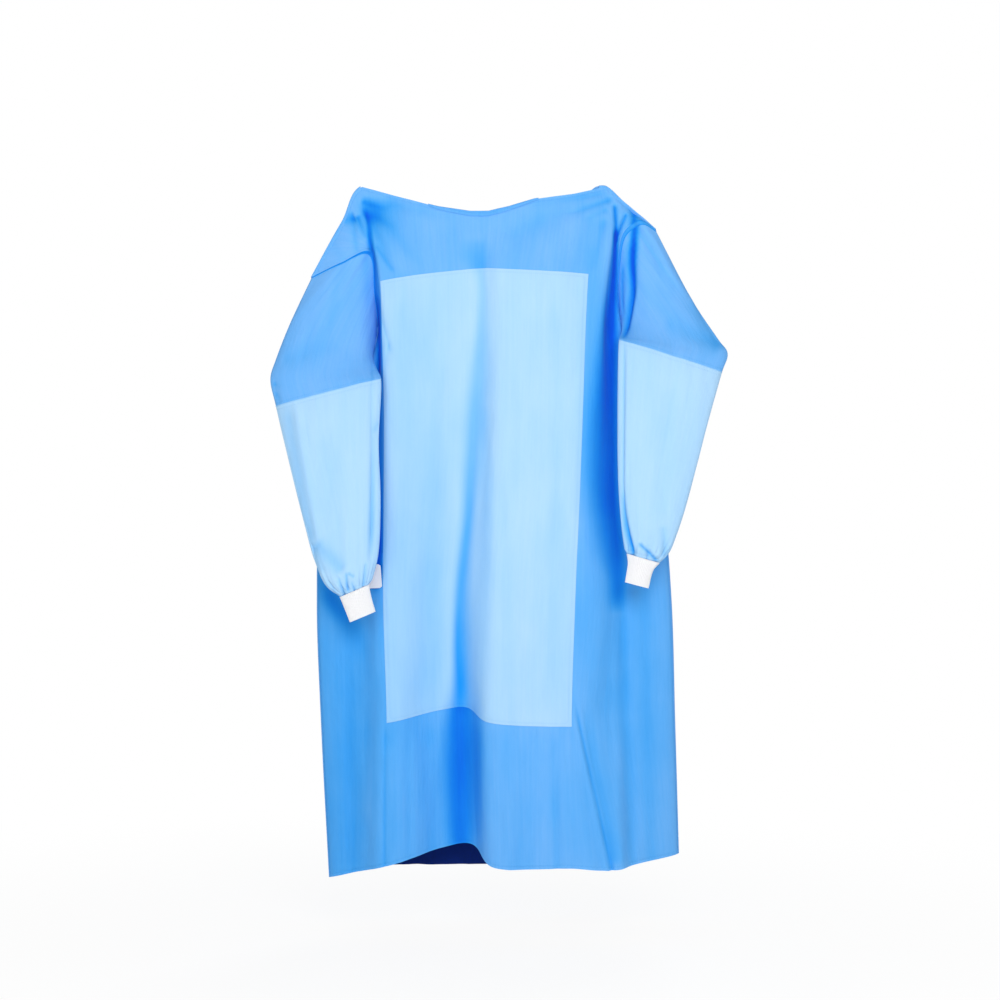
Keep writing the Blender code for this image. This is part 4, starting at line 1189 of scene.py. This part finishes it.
def run_along(grid, axis):
    """Length of cloth from the grid's first line to each point, along one axis."""
    steps = np.linalg.norm(np.diff(grid, axis=axis), axis=2)
    return np.concatenate([np.zeros_like(np.take(steps, [0], axis)), np.cumsum(steps, axis)], axis)


def border_distance(grid, closed=False):
    """Distance along the cloth to the nearest border: the least of the runs to the four sides."""
    down = run_along(grid, 0)
    far = np.minimum(down, down[-1:] - down)
    if closed:
        return far
    across = run_along(grid, 1)
    return np.minimum(far, np.minimum(across, across[:, -1:] - across))


def hollow_of(grid, closed=False):
    """How far each point lies behind its soft surroundings, 0 to 1: the grid's own smoothed copy
    minus the grid, along the normal, over the depth of a full hollow."""
    normal = round_normals(grid) if closed else grid_normals(grid)
    soft = grid.copy()
    for _ in range(HOLLOW_ROUNDS):
        pad = np.pad(soft, ((1, 1), (0, 0), (0, 0)), mode="edge")
        soft = (pad[:-2] + pad[2:] + 2 * soft) / 4
        pad = np.pad(soft, ((0, 0), (1, 1), (0, 0)), mode="wrap" if closed else "edge")
        soft = (pad[:, :-2] + pad[:, 2:] + 2 * soft) / 4
    deep = ((soft - grid) * normal).sum(axis=-1) / HOLLOW_DEPTH
    return np.clip(deep, 0, 1)


def dress(obj, grid, closed=False, fold=HOLLOW_SHADE, tone=0.0):
    """Point values for the finish: fold, the painted shade of the small hollows plus the tone given (the painted
    shade of creases, or a seam's own tone), and border, the distance to the nearest edge."""
    point_values(obj, "fold", np.clip(hollow_of(grid, closed) * fold + tone, 0, 1.2))
    point_values(obj, "border", border_distance(grid, closed))


def gown_piece(name, grid, mat, slot, thick=CLOTH, closed=False, flip=False, fold=HOLLOW_SHADE, tone=0.0,
               with_pieces=()):
    """A cloth shell in place of its solids."""
    solids = SLEEVE_SOLIDS.get(name, (name,))
    obj = cloth_piece(name + "_cloth", grid, mat, thick, closed, flip, solids)
    dress(obj, grid, closed, fold, tone)
    return obj


def seam_piece(name, grid, mat, slot, thick=SEAM_WALL, closed=False, flip=False, tone=0.0):
    """A raised seam or fold that belongs to a cloth."""
    obj = cloth_piece(name, grid, mat, thick, closed, flip)
    dress(obj, grid, closed, tone=tone)
    return obj


def thread_piece(name, path, normal, mat):
    """A row of stitches that rides on the gown."""
    verts, faces = stitches(path, normal)
    mesh = bpy.data.meshes.new(name)
    mesh.from_pydata(verts.tolist(), [], faces)
    mesh.shade_smooth()
    obj = add_object(name, mesh, mat)
    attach(obj, "root")
    return obj


def build_sleeve(side, word, front, back, mats):
    """One sleeve in its two cuts, each closed in a ring, with the seams at the armhole and between."""
    grid, tone, join = sleeve_grid(side, front, back)
    lower = grid[join:].copy()
    lower[0] += unit(lower[1] - lower[0]) * SEAM
    way = {"closed": True, "flip": side == "r"}
    arm = seam_piece("armhole_seam_" + word, seam_ring(grid, ARMHOLE_ROW, ARMHOLE_WIDTHS[side], ARMHOLE_HEIGHT),
                     mats["body"], "body_blue", tone=np.array(ARMHOLE_TONES[side])[:, None], **way)
    cross = seam_piece("forearm_seam_" + word, seam_ring(grid, join, CROSS_SEAM_WIDTH, CROSS_SEAM_HEIGHT),
                       mats["sleeve"], "panel_light_blue", tone=CROSS_SEAM_TONE, **way)
    gown_piece("sleeve_upper_" + word, grid[:join + 1], mats["body"], "body_blue", tone=tone[:join + 1],
               with_pieces=[arm], **way)
    gown_piece("sleeve_forearm_" + word, lower, mats["sleeve"], "panel_light_blue", tone=tone[join:],
               with_pieces=[cross], **way)


def build_cuff(side, word, mats):
    """Knit cuff: rings along it, its ribs a cosine round the loop."""
    wrist = SLEEVE_SECTIONS[side][-1:] + CUFF_SECTIONS[side]
    rings = [sleeve_ring(*section[1:], CUFF_RIBS * RIB_SIDES) for section in wrist]
    grid = curve_through(np.array(rings), CUFF_STEPS)
    grid[0] += unit(grid[1] - grid[0]) * SEAM
    rib = np.cos(np.arange(grid.shape[1]) / RIB_SIDES * 2 * np.pi)[None, :, None]
    grid = grid + round_normals(grid) * rib * RIB_HEIGHT
    gown_piece("cuff_" + word, grid, mats["knit"], "knit_white", KNIT, closed=True, flip=side == "r", fold=0.0)


def build_body(front, front_tone, backs, back_tones, mats):
    """The front with its side and shoulder seams, and the two backs."""
    body = mats["body"]
    seams = [seam_piece("side_seam_" + word, side_seam(front, backs[side], side), body, "body_blue")
             for side, word in SIDES]
    folds = [seam_piece("shoulder_seam_" + word, shoulder_fold(front, backs[side], side), body, "body_blue",
                        FOLD_WALL) for side, word in SIDES]
    gown_piece("front_body", front, body, "body_blue", tone=front_tone, with_pieces=seams + folds)
    for side, word in SIDES:
        panel = gown_piece("back_" + word, backs[side], body, "body_blue", flip=side == "r",
                           tone=back_tones[side])
        # Painted shadow inside the hem: the point value "inner" rises from 0 above to 1 at the hem
        point_values(panel, "inner", np.interp(-backs[side][..., 2] / MM, np.negative(INNER_SHADE), (0, 1)))


def build_neck(front, backs, lift, mats):
    """The stitched binding of the neck edge, and the two closing tabs on the backs."""
    binding = neck_binding(front)
    line = binding[0] * 0.8 + binding[2] * 0.2
    under = np.abs(front[0, :, 0]) < BINDING_REACH
    normal = grid_normals(front)[0, under]
    thread = thread_piece("neck_stitches", line + normal * LAYER * 0.55, normal, mats["thread"])
    gown_piece("neck_binding", binding, mats["binding"], "binding_blue", LAYER, flip=True, with_pieces=[thread])
    for side, name in (("l", "neck_tab_left"), ("r", "neck_patch_right")):
        gown_piece(name, tab(backs[side], side, lift), mats["card"], "card_white", LAYER)


def build_gown(mats):
    """All pieces of the gown: body, sleeves, panel, neck, belt and card."""
    front, front_tone = front_grid()
    backs, back_tones = {}, {}
    for side, _ in SIDES:
        backs[side], back_tones[side] = back_grid(side, front)
    lift = CLOTH / 2 + GAP + LAYER / 2
    build_body(front, front_tone, backs, back_tones, mats)
    for side, word in SIDES:
        build_sleeve(side, word, front, backs[side], mats)
        build_cuff(side, word, mats)
    rows = slice(level_row("panel_top"), level_row("panel_foot") + 1)
    columns = slice(front_column("lip_r"), front_column("panel_l") + 1)
    gown_piece("front_reinforcement", (front + grid_normals(front) * lift)[rows, columns], mats["panel"],
               "panel_light_blue", LAYER, tone=front_tone[rows, columns])
    build_neck(front, backs, lift, mats)
    strip = belt(front, backs["r"])
    shade = falls_at(strip[..., 0], strip[..., 2], FRONT_FALLS)[1] * (strip[..., 1] < 0)
    gown_piece("belt", strip, mats["body"], "body_blue", LAYER, flip=True, tone=shade)
    sheet = transfer_card(front)
    card = cloth_piece("transfer_card_sheet", sheet, mats["card"], LAYER,
                       stands_for=["transfer_card"])
    dress(card, sheet, fold=0.0)


def floor_and_world():
    """A pale floor that fades into the white room, and a white world that lights from all sides."""
    mesh = bpy.data.meshes.new("floor")
    corners = [(x * FLOOR_REACH, y * FLOOR_REACH, FLOOR_Z) for x, y in ((-1, -1), (1, -1), (1, 1), (-1, 1))]
    mesh.from_pydata(corners, [], [(0, 1, 2, 3)])
    mat, graph, shader = new_material("floor_white")
    graph.feed(shader, {"Base Color": (0.93, 0.93, 0.93, 1), "Roughness": 0.9})
    place = graph.add("ShaderNodeTexCoord").outputs["Object"]
    flat = graph.add("ShaderNodeVectorMath", {0: place, 1: (1, 1, 0)}, operation="MULTIPLY").outputs[0]
    far = graph.add("ShaderNodeVectorMath", {0: flat}, operation="LENGTH").outputs["Value"]
    near, gone, least = FLOOR_FADE
    fade = graph.add("ShaderNodeMapRange", {"Value": far, "From Min": near, "From Max": gone, "To Min": least},
                     interpolation_type="SMOOTHSTEP").outputs["Result"]
    glow = graph.add("ShaderNodeEmission", {"Color": (1, 1, 1, 1), "Strength": 1.0}).outputs[0]
    seen = graph.add("ShaderNodeLightPath").outputs["Is Camera Ray"]
    fade = graph.math("MULTIPLY", fade, seen)
    both = graph.add("ShaderNodeMixShader", {0: fade, 1: shader.outputs[0], 2: glow}).outputs[0]
    graph.feed(mat.node_tree.nodes["Material Output"], {"Surface": both})
    add_object("floor", mesh, mat)
    world = bpy.data.worlds.new("studio")
    bpy.context.scene.world = world
    world.use_nodes = True
    room = Graph(world.node_tree)
    camera_ray = room.add("ShaderNodeLightPath").outputs["Is Camera Ray"]
    room.feed(room.tree.nodes["Background"], {"Strength": room.spread(camera_ray, 0, 1, WORLD_LIGHT, 1.0),
                                              "Color": (1, 1, 1, 1)})


def lights():
    """Area lights, each turned towards its aim and unseen by the camera."""
    for name, place, aim, width, height, power in LIGHTS:
        light = bpy.data.lights.new(name, "AREA")
        light.shape = "RECTANGLE"
        light.size = width
        light.size_y = height
        light.energy = power
        obj = bpy.data.objects.new(name, light)
        bpy.context.scene.collection.objects.link(obj)
        obj.visible_camera = False
        obj.location = place
        obj.rotation_euler = (Vector(aim) - Vector(place)).to_track_quat("-Z", "Y").to_euler()


def camera():
    """Level camera straight in front: the lens is the sensor's width times distance over picture width."""
    data = bpy.data.cameras.new("camera")
    data.sensor_width = SENSOR
    data.lens = SENSOR * CAMERA_DISTANCE / (METRES_PER_PIXEL * PICTURE_WIDTH)
    obj = bpy.data.objects.new("camera", data)
    bpy.context.scene.collection.objects.link(obj)
    obj.location = (CAMERA_X, -CAMERA_DISTANCE, CAMERA_Z)
    obj.rotation_euler = (math.pi / 2, 0, 0)
    bpy.context.scene.camera = obj


build_gown(make_materials())
floor_and_world()
lights()
camera()
bpy.context.scene.view_settings.view_transform = "Standard"
